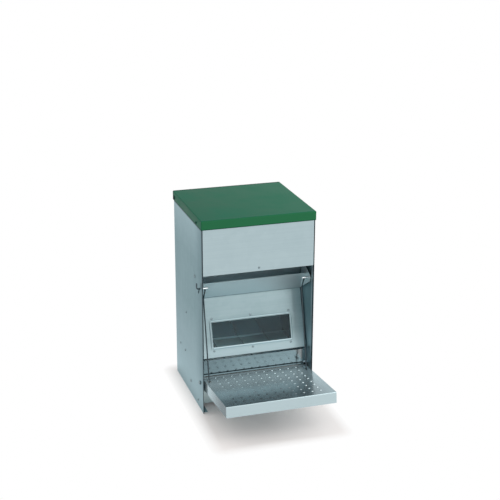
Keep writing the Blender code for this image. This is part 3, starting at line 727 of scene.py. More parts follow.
class Materials:
    """Makes each finish's procedural material once.

    Attributes:
        made: The materials so far, by name.
    """

    made: dict[str, bpy.types.Material] = {}

    @classmethod
    def of(cls, look: Finish) -> bpy.types.Material:
        """A finish's material, made on first use.

        Args:
            look: The finish.

        Returns:
            The material.
        """
        makers = {
            MetalFinish: cls.metal,
            PaintFinish: cls.paint,
            AcrylicFinish: cls.acrylic,
            PlasticFinish: cls.plastic,
        }
        if look.name not in cls.made:
            cls.made[look.name] = makers[type(look)](look)
        return cls.made[look.name]

    @staticmethod
    def blank(name: str) -> tuple[bpy.types.Material, NodeTree, bpy.types.Node]:
        """A new material.

        Args:
            name: Its name.

        Returns:
            The material, its tree and its shader.
        """
        made = bpy.data.materials.new(name)
        made.use_nodes = True
        return made, NodeTree(made.node_tree), made.node_tree.nodes["Principled BSDF"]

    @classmethod
    def metal(cls, look: MetalFinish) -> bpy.types.Material:
        """Zinc-coated or bare metal.

        Args:
            look: Its finish.

        Returns:
            The material.
        """
        made, kit, shader = cls.blank(look.name)
        pattern = kit.node("ShaderNodeGroup", node_tree=SpangleGroup.tree())
        pattern.inputs["Crystal"].default_value = look.crystal
        pattern.inputs["Grain"].default_value = look.grain
        shade = kit.blended(pattern.outputs["Tone"], look.dark, look.light)
        kit.link(kit.faded(shade, kit.place(), look.fades), shader.inputs["Base Color"])
        rough = kit.mapped(pattern.outputs["Gloss"], WHOLE, (look.rough_low, look.rough_high))
        kit.link(rough, shader.inputs["Roughness"])
        shader.inputs["Metallic"].default_value = look.metallic
        shader.inputs["Specular Tint"].default_value = look.glance
        uneven = kit.bumped(pattern.outputs["Height"], look.bump, look.bump_share)
        kit.link(uneven, shader.inputs["Normal"])
        return made

    @classmethod
    def paint(cls, look: PaintFinish) -> bpy.types.Material:
        """Paint on sheet.

        Args:
            look: Its finish.

        Returns:
            The material.
        """
        made, kit, shader = cls.blank(look.name)
        place = kit.place()
        cloud = kit.noise(place, *look.clouds)
        shade = kit.blended(kit.mapped(cloud, NOISE_SPAN, WHOLE), look.deep, look.pale)
        kit.link(kit.faded(shade, place, look.fades), shader.inputs["Base Color"])
        rough = kit.mapped(cloud, NOISE_SPAN, (look.rough_low, look.rough_high))
        kit.link(rough, shader.inputs["Roughness"])
        shader.inputs["Specular IOR Level"].default_value = look.gloss
        shader.inputs["Specular Tint"].default_value = look.glance
        uneven = kit.bumped(kit.noise(place, *look.peel), look.bump, look.bump_share)
        kit.link(uneven, shader.inputs["Normal"])
        return made

    @classmethod
    def acrylic(cls, look: AcrylicFinish) -> bpy.types.Material:
        """Clear window sheet.

        Args:
            look: Its finish.

        Returns:
            The material.
        """
        made, kit, shader = cls.blank(look.name)
        shader.inputs["Base Color"].default_value = look.tint
        shader.inputs["Transmission Weight"].default_value = 1.0
        shader.inputs["IOR"].default_value = look.ior
        haze = kit.mapped(kit.noise(kit.place(), *look.clouds), NOISE_SPAN, look.haze)
        kit.link(haze, shader.inputs["Roughness"])
        return made

    @classmethod
    def plastic(cls, look: PlasticFinish) -> bpy.types.Material:
        """Moulded plastic.

        Args:
            look: Its finish.

        Returns:
            The material.
        """
        made, kit, shader = cls.blank(look.name)
        shade = kit.blended(kit.noise(kit.place(), *look.specks), look.dark, look.light)
        kit.link(shade, shader.inputs["Base Color"])
        shader.inputs["Roughness"].default_value = look.rough
        return made


@dataclass
class Shape:
    """A surface's points and faces, measured from the housing's front edges.

    Attributes:
        points: One row of X, Y and Z for each point.
        faces: Point numbers of each face.
    """

    points: np.ndarray
    faces: list[tuple[int, ...]]

    @staticmethod
    def grid(points: np.ndarray, wrap: bool) -> "Shape":
        """A surface of two parameters: quads between neighbouring rows and columns.

        Args:
            points: Array of rows, columns and X, Y, Z.
            wrap: Whether the last column joins the first.

        Returns:
            The surface.
        """
        rows, columns = points.shape[:2]
        number = np.arange(rows * columns).reshape(rows, columns)
        if wrap:
            number = np.concatenate([number, number[:, :1]], axis=1)
        quads = np.stack([number[:-1, :-1], number[:-1, 1:], number[1:, 1:], number[1:, :-1]], axis=-1)
        return Shape(points.reshape(-1, 3), [tuple(q) for q in quads.reshape(-1, 4).tolist()])

    @staticmethod
    def joined(shapes: Iterable["Shape"]) -> "Shape":
        """Several surfaces as one, each one's point numbers moved past those before it.

        Args:
            shapes: The surfaces.

        Returns:
            The surface.
        """
        parts = list(shapes)
        starts = np.cumsum([0] + [len(part.points) for part in parts])
        faces = [tuple(i + start for i in face) for part, start in zip(parts, starts) for face in part.faces]
        return Shape(np.concatenate([part.points for part in parts]), faces)

    @staticmethod
    def turned(profile: np.ndarray, base: Point, way: Point, sides: int = 28) -> "Shape":
        """A turned piece: each profile point (distance, radius) swept round a line.

        The point at angle t is base + distance * way + radius * (cos t * across + sin t * up).

        Args:
            profile: Rows of distance along the line and radius; the ends have radius 0.
            base: Where the distance is 0.
            way: Direction of the line.
            sides: Steps round the line.

        Returns:
            The surface.
        """
        along = np.asarray(way) / np.linalg.norm(way)
        across = np.cross(along, ODD_WAY)
        across = across / np.linalg.norm(across)
        up = np.cross(along, across)
        turn = np.linspace(0.0, math.tau, sides, endpoint=False)
        ring = np.cos(turn)[:, None] * across + np.sin(turn)[:, None] * up
        spots = np.asarray(base) + profile[:, None, :1] * along + profile[:, None, 1:] * ring
        return Shape.grid(spots, True)

    @staticmethod
    def wire(path: np.ndarray, radius: float, sides: int = 14) -> "Shape":
        """A round wire with rounded ends: a circle carried along a path.

        The circle stands square to the path's direction. At both ends it shrinks over one radius, as
        radius * sin t at radius * (1 - cos t) from the end.

        Args:
            path: Points of the middle line.
            radius: The wire's radius.
            sides: Points of the circle.

        Returns:
            The surface.
        """
        cap = np.sin(np.linspace(0.0, math.pi / 2, CAP_STEPS))
        inset = radius * (1.0 - np.sqrt(1.0 - cap**2))[:, None]
        ways = np.gradient(path, axis=0)
        ways = ways / np.linalg.norm(ways, axis=1, keepdims=True)
        first, last = path[0] + ways[0] * inset, path[-1] - ways[-1] * inset
        line = np.concatenate([first, path[1:-1], last[::-1]])
        width = np.concatenate([cap, np.ones(len(path) - 2), cap[::-1]]) * radius
        rings = np.ones(len(path), dtype=int)
        rings[[0, -1]] = CAP_STEPS
        ways = np.repeat(ways, rings, axis=0)
        across = np.cross(ways, ODD_WAY)
        across = across / np.linalg.norm(across, axis=1, keepdims=True)
        up = np.cross(ways, across)
        turn = np.linspace(0.0, math.tau, sides, endpoint=False)
        ring = np.cos(turn)[None, :, None] * across[:, None] + np.sin(turn)[None, :, None] * up[:, None]
        return Shape.grid(line[:, None] + width[:, None, None] * ring, True)

    def mirrored(self, side: float) -> "Shape":
        """The surface on the left (-1) or as it is (1)."""
        return Shape(self.points * (side, 1.0, 1.0), self.faces)


def dome(start: float, height: float, radius: float, steps: int = 7) -> np.ndarray:
    """Profile of a round head: distance start + height * sin t at radius * cos t, to a point at the top."""
    turn = np.linspace(0.0, math.pi / 2, steps)
    return np.stack([start + height * np.sin(turn), radius * np.cos(turn)], axis=1)


def eased(corners: np.ndarray, bend: float, steps: int = 7) -> np.ndarray:
    """A path with rounded corners.

    Each inner corner P becomes the curve (1-t)^2 A + 2t(1-t) P + t^2 B, where A and B lie one bend
    length before and after it.

    Args:
        corners: The path's corner points.
        bend: Length taken off each side of a corner.
        steps: Points of each curve.

    Returns:
        The path's points.
    """
    before, here, after = corners[:-2], corners[1:-1], corners[2:]
    back, ahead = before - here, after - here
    start = here + back / np.linalg.norm(back, axis=1, keepdims=True) * bend
    end = here + ahead / np.linalg.norm(ahead, axis=1, keepdims=True) * bend
    t = np.linspace(0.0, 1.0, steps)[None, :, None]
    curve = (1 - t) ** 2 * start[:, None] + 2 * t * (1 - t) * here[:, None] + t**2 * end[:, None]
    return np.concatenate([corners[:1], curve.reshape(-1, corners.shape[1]), corners[-1:]])


class Workshop:
    """Turns surfaces into dressed objects that ride on the feeder's bodies."""

    @staticmethod
    def piece(
        name: str,
        shape: Shape,
        body: Body,
        slot: Slot,
        look: Finish,
        nodes: tuple[str, ...] = (),
    ) -> bpy.types.Object:
        """Makes a dressed object from a surface, in place of the solids named."""
        return Workshop.fitted(Workshop.mesh(name, shape), body, slot, look, nodes)

    @staticmethod
    def mesh(name: str, shape: Shape) -> bpy.types.Mesh:
        """Makes a mesh from a surface, with its seams merged and its faces turned outward.

        Args:
            name: The mesh's name.
            shape: The surface, measured from the housing's front edges.

        Returns:
            The mesh.
        """
        mesh = bpy.data.meshes.new(name)
        mesh.from_pydata((shape.points - (0.0, FRONT_SHIFT, 0.0)).tolist(), [], shape.faces)
        work = bmesh.new()
        work.from_mesh(mesh)
        bmesh.ops.remove_doubles(work, verts=work.verts, dist=MERGE)
        bmesh.ops.recalc_face_normals(work, faces=work.faces)
        work.to_mesh(mesh)
        work.free()
        return mesh

    @staticmethod
    def walled(name: str, sheet: bpy.types.Mesh, thickness: float, holes: bpy.types.Mesh) -> bpy.types.Mesh:
        """Gives a sheet its thickness, inward, and cuts holes through it.

        Args:
            name: The new mesh's name.
            sheet: The sheet's outer surface.
            thickness: Its thickness.
            holes: Closed surfaces that are taken away.

        Returns:
            The new mesh.
        """
        plain, cutter = (bpy.data.objects.new(mesh.name, mesh) for mesh in (sheet, holes))
        for part in (plain, cutter):
            bpy.context.scene.collection.objects.link(part)
        wall = plain.modifiers.new("wall", "SOLIDIFY")
        wall.thickness = thickness
        wall.offset = -1.0
        wall.use_even_offset = True
        cut = plain.modifiers.new("holes", "BOOLEAN")
        cut.operation = "DIFFERENCE"
        cut.solver = "EXACT"
        cut.object = cutter
        shaped = plain.evaluated_get(bpy.context.evaluated_depsgraph_get())
        solid = bpy.data.meshes.new_from_object(shaped)
        for part in (plain, cutter):
            bpy.data.objects.remove(part)
        for mesh in (sheet, holes):
            bpy.data.meshes.remove(mesh)
        solid.name = name
        return solid

    @staticmethod
    def fitted(
        mesh: bpy.types.Mesh,
        body: Body,
        slot: Slot,
        look: Finish,
        nodes: tuple[str, ...] = (),
    ) -> bpy.types.Object:
        """Makes a dressed object from a mesh.

        Args:
            mesh: The mesh; the object takes its name.
            body: The body it rides on.
            slot: The record's slot of its finish; not used.
            look: Its finish.
            nodes: The solids that it stands for.

        Returns:
            The object.
        """
        name = mesh.name
        mesh.shade_smooth()
        mesh.set_sharp_from_angle(angle=SMOOTH_UNDER)
        mesh.materials.append(Materials.of(look))
        made = bpy.data.objects.new(name, mesh)
        bpy.context.scene.collection.objects.link(made)
        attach(made, body.value)
        if nodes:
            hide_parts(*nodes)
        log.info("%s: %d faces on %s", name, len(mesh.polygons), body.value)
        return made

    @staticmethod
    def dress(node: str, look: Finish) -> None:
        """Gives a solid its finish.

        Args:
            node: The solid's name.
            look: The finish.
        """
        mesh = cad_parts[node].data
        mesh.materials.clear()
        mesh.materials.append(Materials.of(look))
        log.info("%s: dressed", node)


@dataclass
class Housing:
    """The sheet-metal body and the fixings through its walls.

    Attributes:
        half: Half the body's width.
        sheet: Thickness of the sheet.
        gap: Room left between touching pieces.
        shank: Radius of a rivet's shank.
        head: Radius of a rivet's head.
        head_high: Height of a rivet's head.
        head_rim: Height of the straight rim under a rivet's dome.
        tail: Radius of a rivet's tail, as a share of its head's.
        tail_room: How far the tail sits off the sheets behind it.
        dimple: Radius of the dimple that the mandrel leaves in a rivet.
        dimple_rim: Height of the dimple's rim, as a share of the head's.
        dimple_floor: Height of the dimple's floor, as a share of the head's.
        blunt: Radius of a blunted end, as a share of the full one.
        pin: Radius of a hinge pin.
        pin_head: Radius of a pin's head.
        collar: Radius of the hinge pin's collar.
        collar_deep: Length of the hinge pin's collar inside the ear.
        bolt_head: Radius of the treadle bolt's head and nut.
        bolt_high: Height of the treadle bolt's head.
        bolt_flat: Height of that head's straight part.
        bolt_crown: Radius of that head above its washer, as a share of the washer's.
        washer: Thickness of the treadle bolt's washer.
        nut_deep: Length of the treadle bolt's nut.
        chamfer: Radius of a chamfered end, as a share of the full one.
        collar_chamfer: Length of the collar's chamfer.
        nut_chamfer: Length of the nut's chamfer.
        stop_chamfer: Length of the stop pin's chamfer.
        ear: Half the distance between the flap's ears.
        arm: Half the distance between the treadle's arms, inside.
        lid_edge: Half the lid's width.
        lid_head: Radius of the lid rivet's head.
        lid_head_high: Height of the lid rivet's head.
        fascia_rivet: Height of the rivet in the fascia.
        hem_x: X of the hem's rolled edge.
        hem_deep: Y of the hem's rolled edge.
        hem_span: Lowest and highest Z of the hem.
        hem_round: Radius of the hem's rolled edge.
        hem_sides: Faces round that edge.
    """

    half: float = 0.150
    sheet: float = SHEET_THICK
    gap: float = 0.0003
    shank: float = 0.0016
    head: float = 0.0030
    head_high: float = 0.0013
    head_rim: float = 0.0003
    tail: float = 0.93
    tail_room: float = 0.0002
    dimple: float = 0.0007
    dimple_rim: float = 0.75
    dimple_floor: float = 0.62
    blunt: float = 0.8
    pin: float = 0.0030
    pin_head: float = 0.0046
    collar: float = 0.0050
    collar_deep: float = 0.0015
    bolt_head: float = 0.0055
    bolt_high: float = 0.0035
    bolt_flat: float = 0.0014
    bolt_crown: float = 0.86
    washer: float = 0.0008
    nut_deep: float = 0.0020
    chamfer: float = 0.9
    collar_chamfer: float = 0.0003
    nut_chamfer: float = 0.0004
    stop_chamfer: float = 0.0006
    ear: float = 0.1451
    arm: float = 0.1429
    lid_edge: float = LID_HALF
    lid_head: float = 0.0055
    lid_head_high: float = 0.0022
    fascia_rivet: float = 0.391
    hem_x: float = 0.1482
    hem_deep: float = 0.0100
    hem_span: Flat = (0.1255, 0.3795)
    hem_round: float = 0.0008
    hem_sides: int = 10

    @property
    def outer(self) -> float:
        """X of a head's seat outside the side panel."""
        return self.half + self.gap

    @property
    def inner(self) -> float:
        """X of a head's seat inside the side panel."""
        return self.half - self.sheet - self.gap

    def build(self) -> None:
        """Dresses the panels and makes the fixings."""
        Workshop.dress("left_side_panel", SIDE_SHEET)
        Workshop.dress("right_side_panel", RIGHT_SHEET)
        for word, _ in SIDES:
            Workshop.dress(f"treadle_bush_{word}", PALE_PLASTIC)
        Workshop.dress("back_panel", SIDE_SHEET)
        Workshop.dress("front_panel", FASCIA_SHEET)
        Workshop.dress("kick_panel", KICK_SHEET)
        Workshop.dress("hopper_baffle", BAFFLE_SHEET)
        Workshop.dress("feed_trough", TROUGH_SHEET)
        for word, side in SIDES:
            self.small_rivets(word, side)
            self.across(f"flap_hinge_rivet_{word}", self.hinge_rivet(), side)
            self.across(f"treadle_bolt_{word}", self.pivot_bolt(), side)
            self.across(f"stop_pin_{word}", self.stop_pin(), side)
            self.across(f"lid_rivet_{word}", self.lid_rivet(), side, DARK_STEEL)
            self.hem_roll(word, side)
        self.front_rivet()

    def hem_roll(self, word: str, side: float) -> None:
        """The rolled edge of the hem inside the recess: a fine wire-round bead along it.

        Args:
            word: Left or right.
            side: -1 for the left, 1 for the right.
        """
        low, high = self.hem_span
        foot, top = (self.hem_x, self.hem_deep, low), (self.hem_x, self.hem_deep, high)
        shape = Shape.wire(np.linspace(foot, top, RUN_STEPS), self.hem_round, self.hem_sides)
        Workshop.piece(f"hem_roll_{word}", shape.mirrored(side), Body.HOUSING, Slot.SHEET, FASCIA_SHEET)

    @staticmethod
    def across(name: str, profile: np.ndarray, side: float, look: Finish = FIXING_ZINC) -> None:
        """A fixing turned about a line across the feeder, in place of the solid of that name.

        Args:
            name: The solid's name.
            profile: Rows of X and radius.
            side: -1 for the left, 1 for the right.
            look: Its finish.
        """
        low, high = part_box(name)
        middle = (0.0, (low[1] + high[1]) / 2 + FRONT_SHIFT, (low[2] + high[2]) / 2)
        shape = Shape.turned(profile, middle, ACROSS).mirrored(side)
        Workshop.piece(f"{name}_turned", shape, Body.HOUSING, Slot.WIRE, look, (name,))

    def small_rivets(self, word: str, side: float) -> None:
        """Domed blind rivets through the side panel.

        Args:
            word: Left or right.
            side: -1 for the left, 1 for the right.
        """
        inside = self.half - 2 * self.sheet - 2 * self.gap
        tail = dome(self.tail_room - inside, self.head_high, self.head * self.tail)[::-1] * FACING_BACK
        shank = np.array([(inside, self.shank), (self.outer, self.shank)])
        profile = np.concatenate([tail, shank, self.rivet_head(self.outer)])
        for kind in ("baffle_rivet", "trough_rivet_front", "trough_rivet_back", "kick_rivet"):
            self.across(f"{kind}_{word}", profile, side)

    def rivet_head(self, start: float) -> np.ndarray:
        """Profile of a rivet's head: a low rim, a dome and the dimple that the mandrel leaves.

        Args:
            start: Distance of the head's seat.

        Returns:
            Rows of distance and radius.
        """
        crown = start + self.head_rim
        return np.concatenate(
            [
                np.array([(start, self.head), (crown, self.head)]),
                dome(crown, self.head_high - self.head_rim, self.head)[1:-1],
                np.array(
                    [
                        (start + self.head_high * self.dimple_rim, self.dimple),
                        (start + self.head_high * self.dimple_floor, 0.0),
                    ]
                ),
            ]
        )

    def hinge_rivet(self) -> np.ndarray:
        """Profile of the flap's hinge rivet: collars on both sides of the ear and a head outside.

        Returns:
            Rows of X and radius.
        """
        ear_in, ear_out = self.ear - self.gap, self.ear + self.sheet + self.gap
        end = ear_in - self.collar_deep
        shank = np.array(
            [
                (end, 0.0),
                (end, self.collar * self.chamfer),
                (end + self.collar_chamfer, self.collar),
                (ear_in, self.collar),
                (ear_in, self.pin),
                (ear_out, self.pin),
                (ear_out, self.collar),
                (self.inner, self.collar),
                (self.inner, self.pin),
                (self.outer, self.pin),
                (self.outer, self.pin_head),
            ]
        )
        return np.concatenate([shank, dome(self.outer, self.head_high, self.pin_head)])

    def pivot_bolt(self) -> np.ndarray:
        """Profile of the treadle's bolt: a nut inside the arm, a shank, a washer and a domed head.

        Returns:
            Rows of X and radius.
        """
        end, crown = self.arm - self.nut_deep, self.bolt_head * self.bolt_crown
        shank = np.array(
            [
                (end, 0.0),
                (end, self.bolt_head * self.chamfer),
                (end + self.nut_chamfer, self.bolt_head),
                (self.arm, self.bolt_head),
                (self.arm, self.pin),
                (self.outer, self.pin),
                (self.outer, self.bolt_head),
                (self.outer + self.washer, self.bolt_head),
                (self.outer + self.washer, crown),
            ]
        )
        top = dome(self.outer + self.bolt_flat, self.bolt_high - self.bolt_flat, crown)
        return np.concatenate([shank, top])

    def stop_pin(self) -> np.ndarray:
        """Profile of the treadle's stop pin: a chamfered end, a shank and a head outside.

        Returns:
            Rows of X and radius.
        """
        shank = np.array(
            [
                (self.arm, 0.0),
                (self.arm, self.pin * self.blunt),
                (self.arm + self.stop_chamfer, self.pin),
                (self.outer, self.pin),
            ]
        )
        return np.concatenate([shank, dome(self.outer, self.head_high, self.pin_head)])

    def lid_rivet(self) -> np.ndarray:
        """Profile of the lid's hinge rivet: a head inside, a spacer under the skirt and a dark head outside.

        Returns:
            Rows of X and radius.
        """
        end = self.inner - self.head_high
        skirt_in, skirt_out = self.lid_edge - self.sheet - self.gap, self.lid_edge + self.gap
        shank = np.array(
            [
                (end, 0.0),
                (end, self.pin_head * self.blunt),
                (end + self.head_high / 2, self.pin_head),
                (self.inner, self.pin_head),
                (self.inner, self.shank),
                (self.outer, self.shank),
                (self.outer, self.pin_head),
                (skirt_in, self.pin_head),
                (skirt_in, self.shank),
                (skirt_out, self.shank),
                (skirt_out, self.lid_head),
            ]
        )
        return np.concatenate([shank, dome(skirt_out, self.lid_head_high, self.lid_head)])

    def front_rivet(self) -> None:
        """The rivet low in the middle of the fascia."""
        back = -self.sheet - 2 * self.gap
        end = back - self.head_high
        tail = np.array(
            [
                (end, 0.0),
                (end, self.head * self.blunt),
                (back, self.head * self.tail),
                (back, self.shank),
                (0.0, self.shank),
            ]
        )
        profile = np.concatenate([tail, self.rivet_head(0.0)])
        shape = Shape.turned(profile, (0.0, 0.0, self.fascia_rivet), FORWARD)
        name = "front_panel_rivet"
        Workshop.piece(f"{name}_turned", shape, Body.HOUSING, Slot.WIRE, FIXING_ZINC, (name,))


@dataclass
class FeedGrid:
    """The wires over the feed.

    Attributes:
        radius: The wire's radius.
        pitch: Distance between the bars.
        floor: Height of the bars' feet.
        level: Height of the bars' level run.
        front: Y of the bars' feet.
        rise: Y where the bars start to climb.
        end: Y and Z of the bars' upper ends.
        cross: Y of the cross wires, by name.
        half: Half the cross wires' length.
        bend: Length that a bend takes off each run.
        gap: Room left between the bars and the cross wires.
    """

    radius: float = 0.0015
    pitch: float = 0.075
    floor: float = 0.0988
    level: float = 0.124
    front: float = 0.047
    rise: float = 0.187
    end: Flat = (0.2672, 0.1412)
    cross: tuple[tuple[str, float], ...] = (("front", 0.062), ("back", 0.180))
    half: float = 0.1487
    bend: float = 0.006
    gap: float = 0.0003

    def build(self) -> None:
        """Makes the bars and the cross wires."""
        for word, x in (("left", -self.pitch), ("middle", 0.0), ("right", self.pitch)):
            corners = np.array(
                [
                    (x, self.front, self.floor),
                    (x, self.front, self.level),
                    (x, self.rise, self.level),
                    (x, *self.end),
                ]
            )
            self.strung(f"grid_bar_{word}", eased(corners, self.bend))
        over = self.level + 2 * self.radius + self.gap
        for word, y in self.cross:
            path = np.linspace((-self.half, y, over), (self.half, y, over), RUN_STEPS)
            self.strung(f"grid_wire_{word}", path)

    def strung(self, name: str, path: np.ndarray) -> None:
        """Makes one wire along a path, in place of the solid of that name."""
        shape = Shape.wire(path, self.radius)
        Workshop.piece(f"{name}_wire", shape, Body.HOUSING, Slot.WIRE, ZINC_WIRE, (name,))


@dataclass
class Lid:
    """The painted lid: a shallow tray with rounded folds, open at the back, and a pin in each side.

    Attributes:
        half: Half the lid's width.
        reach: Y of the front and of the back.
        span: Z of the skirts' lower edges and of the top.
        sheet: Thickness of the sheet.
        fold: Outer radius of the folds.
        fold_steps: Faces round a fold.
        hinge: Y and Z of the hinge rivets.
        hinge_hole: Radius of the holes for those rivets.
        pin: Y and Z of the side pins.
        pin_hole: Radius of the holes for the side pins.
        pin_radius: Radius of a pin's shank.
        pin_head: Radius of a pin's head.
        pin_high: Height of a pin's head.
        gap: Room left between touching pieces.
    """

    half: float = LID_HALF
    reach: Flat = (-0.0033, 0.2873)
    span: Flat = (0.5045, 0.5285)
    sheet: float = SHEET_THICK
    fold: float = 0.0030
    fold_steps: int = 6
    hinge: Flat = (0.272, 0.513)
    hinge_hole: float = 0.0019
    pin: Flat = (0.044, 0.512)
    pin_hole: float = 0.0018
    pin_radius: float = 0.0015
    pin_head: float = 0.0028
    pin_high: float = 0.0022
    gap: float = 0.0002

    def build(self) -> None:
        """Makes the tray and its two pins."""
        tray, holes = Workshop.mesh("lid_sheet", self.tray()), Workshop.mesh("lid_holes", self.holes())
        solid = Workshop.walled("lid_folded", tray, self.sheet, holes)
        Workshop.fitted(solid, Body.LID, Slot.PAINT, GREEN_PAINT, ("lid",))
        pin = Shape.turned(self.pin_profile(), (0.0, *self.pin), ACROSS)
        for word, side in SIDES:
            Workshop.piece(f"lid_pin_{word}", pin.mirrored(side), Body.LID, Slot.WIRE, DARK_STEEL)

    def tray(self) -> Shape:
        """The outer surface: the top and three skirts of a box whose edges are rounded.

        A point P of the box becomes C + fold * (P - C) / |P - C|, where C is P drawn inside by the fold.

        Returns:
            The surface.
        """
        near = np.linspace(0.0, self.fold, self.fold_steps + 1)
        (front, back), (low, high) = self.reach, self.span
        x = np.concatenate([near - self.half, self.half - near[::-1]])
        y = np.append(front + near, back)
        z = np.append(low, high - near[::-1])
        panels = ((x, y, high), (x, front, z), (-self.half, y, z), (self.half, y, z))
        inner_low = (self.fold - self.half, front + self.fold, -math.inf)
        inner_high = (self.half - self.fold, math.inf, high - self.fold)
        sheets = []
        for axes in panels:
            spots = np.stack(np.meshgrid(*axes, indexing="ij"), axis=-1).squeeze()
            inside = np.clip(spots, inner_low, inner_high)
            off = spots - inside
            round_off = off / np.linalg.norm(off, axis=-1, keepdims=True) * self.fold
            sheets.append(Shape.grid(inside + round_off, False))
        return Shape.joined(sheets)

    def holes(self) -> Shape:
        """Two bars across the lid, taken away for the rivets and the pins.

        Returns:
            The bars' surface.
        """
        end = self.half + self.fold
        bars = []
        for place, radius in ((self.hinge, self.hinge_hole), (self.pin, self.pin_hole)):
            profile = np.array([(-end, 0.0), (-end, radius), (end, radius), (end, 0.0)])
            bars.append(Shape.turned(profile, (0.0, *place), ACROSS))
        return Shape.joined(bars)

    def pin_profile(self) -> np.ndarray:
        """Profile of a side pin: a flat tail, a shank through the skirt and a domed head outside.

        Returns:
            Rows of X and radius.
        """
        inside, outside = self.half - self.sheet - self.gap, self.half + self.gap
        shank = np.array(
            [
                (inside - self.sheet, 0.0),
                (inside - self.sheet, self.pin_head),
                (inside, self.pin_head),
                (inside, self.pin_radius),
                (outside, self.pin_radius),
            ]
        )
        return np.concatenate([shank, dome(outside, self.pin_high, self.pin_head)])


@dataclass
class Treadle:
    """The pressed treadle plate with its raised bumps and its weight.

    Attributes:
        pivot: Y and Z of the pivot.
        tilt: Rise of the plate to the front, in degrees.
        top: Height of the plate above the pivot.
        front: The plate's front edge, along the plate.
        first: From that edge to the first row of bumps.
        columns: Bumps in a row.
        rows: Rows of bumps.
        pitch: Distance between bumps across and along the plate.
        radius: Radius of a bump.
        height: Height of a bump.
        bump_sides: Faces round a bump.
        bump_rings: Radii of a bump's rings from rim to crown, as shares of its radius.
    """

    pivot: Flat = (0.0315, 0.076)
    tilt: float = 5.8
    top: float = 0.0107
    front: float = -0.2237
    first: float = 0.0275
    columns: int = 11
    rows: int = 9
    pitch: Flat = (0.0224, 0.0233)
    radius: float = 0.0032
    height: float = 0.00155
    bump_sides: int = 10
    bump_rings: tuple[float, ...] = (1.0, 0.86, 0.6, 0.3, 0.0)

    def placed(self, points: np.ndarray) -> np.ndarray:
        """Moves points from the plate's own frame: turned about the pivot by the tilt.

        Args:
            points: Points across the plate, along it and above the pivot.

        Returns:
            Their X, Y and Z.
        """
        turn = math.radians(self.tilt)
        y, z = points[..., 1], points[..., 2]
        return np.stack(
            [
                points[..., 0],
                self.pivot[0] + y * math.cos(turn) + z * math.sin(turn),
                self.pivot[1] - y * math.sin(turn) + z * math.cos(turn),
            ],
            axis=-1,
        )

    def build(self) -> None:
        """Dresses the plate and its weight and adds the rounded bumps."""
        Workshop.dress("treadle", TREAD_SHEET)
        Workshop.dress("counterweight", BAR_STEEL)
        for word, _ in SIDES:
            Workshop.dress(f"counterweight_bolt_{word}", FIXING_ZINC)
        self.bumps()

    def bumps(self) -> None:
        """Pressed bumps: height * sqrt(1 - r^2) over each centre, r from 1 at the rim to 0 at the crown."""
        reach = np.array(self.bump_rings)
        rise = np.sqrt(1.0 - reach**2) * self.height
        turn = np.linspace(0.0, math.tau, self.bump_sides, endpoint=False)
        one = np.stack(
            [
                reach[:, None] * np.cos(turn) * self.radius,
                reach[:, None] * np.sin(turn) * self.radius,
                np.repeat(rise[:, None], self.bump_sides, 1),
            ],
            axis=-1,
        )
        columns = (np.arange(self.columns) - (self.columns - 1) / 2) * self.pitch[0]
        rows = self.front + self.first + np.arange(self.rows) * self.pitch[1]
        x, y = (spread.ravel() for spread in np.meshgrid(columns, rows))
        middles = np.stack([x, y, np.full_like(x, self.top)], axis=1)
        all_bumps = self.placed(middles[:, None, None] + one[None])
        shape = Shape.joined(Shape.grid(bump, True) for bump in all_bumps)
        Workshop.piece("tread_bumps", shape, Body.TREADLE, Slot.SHEET, BUMP_SHEET)


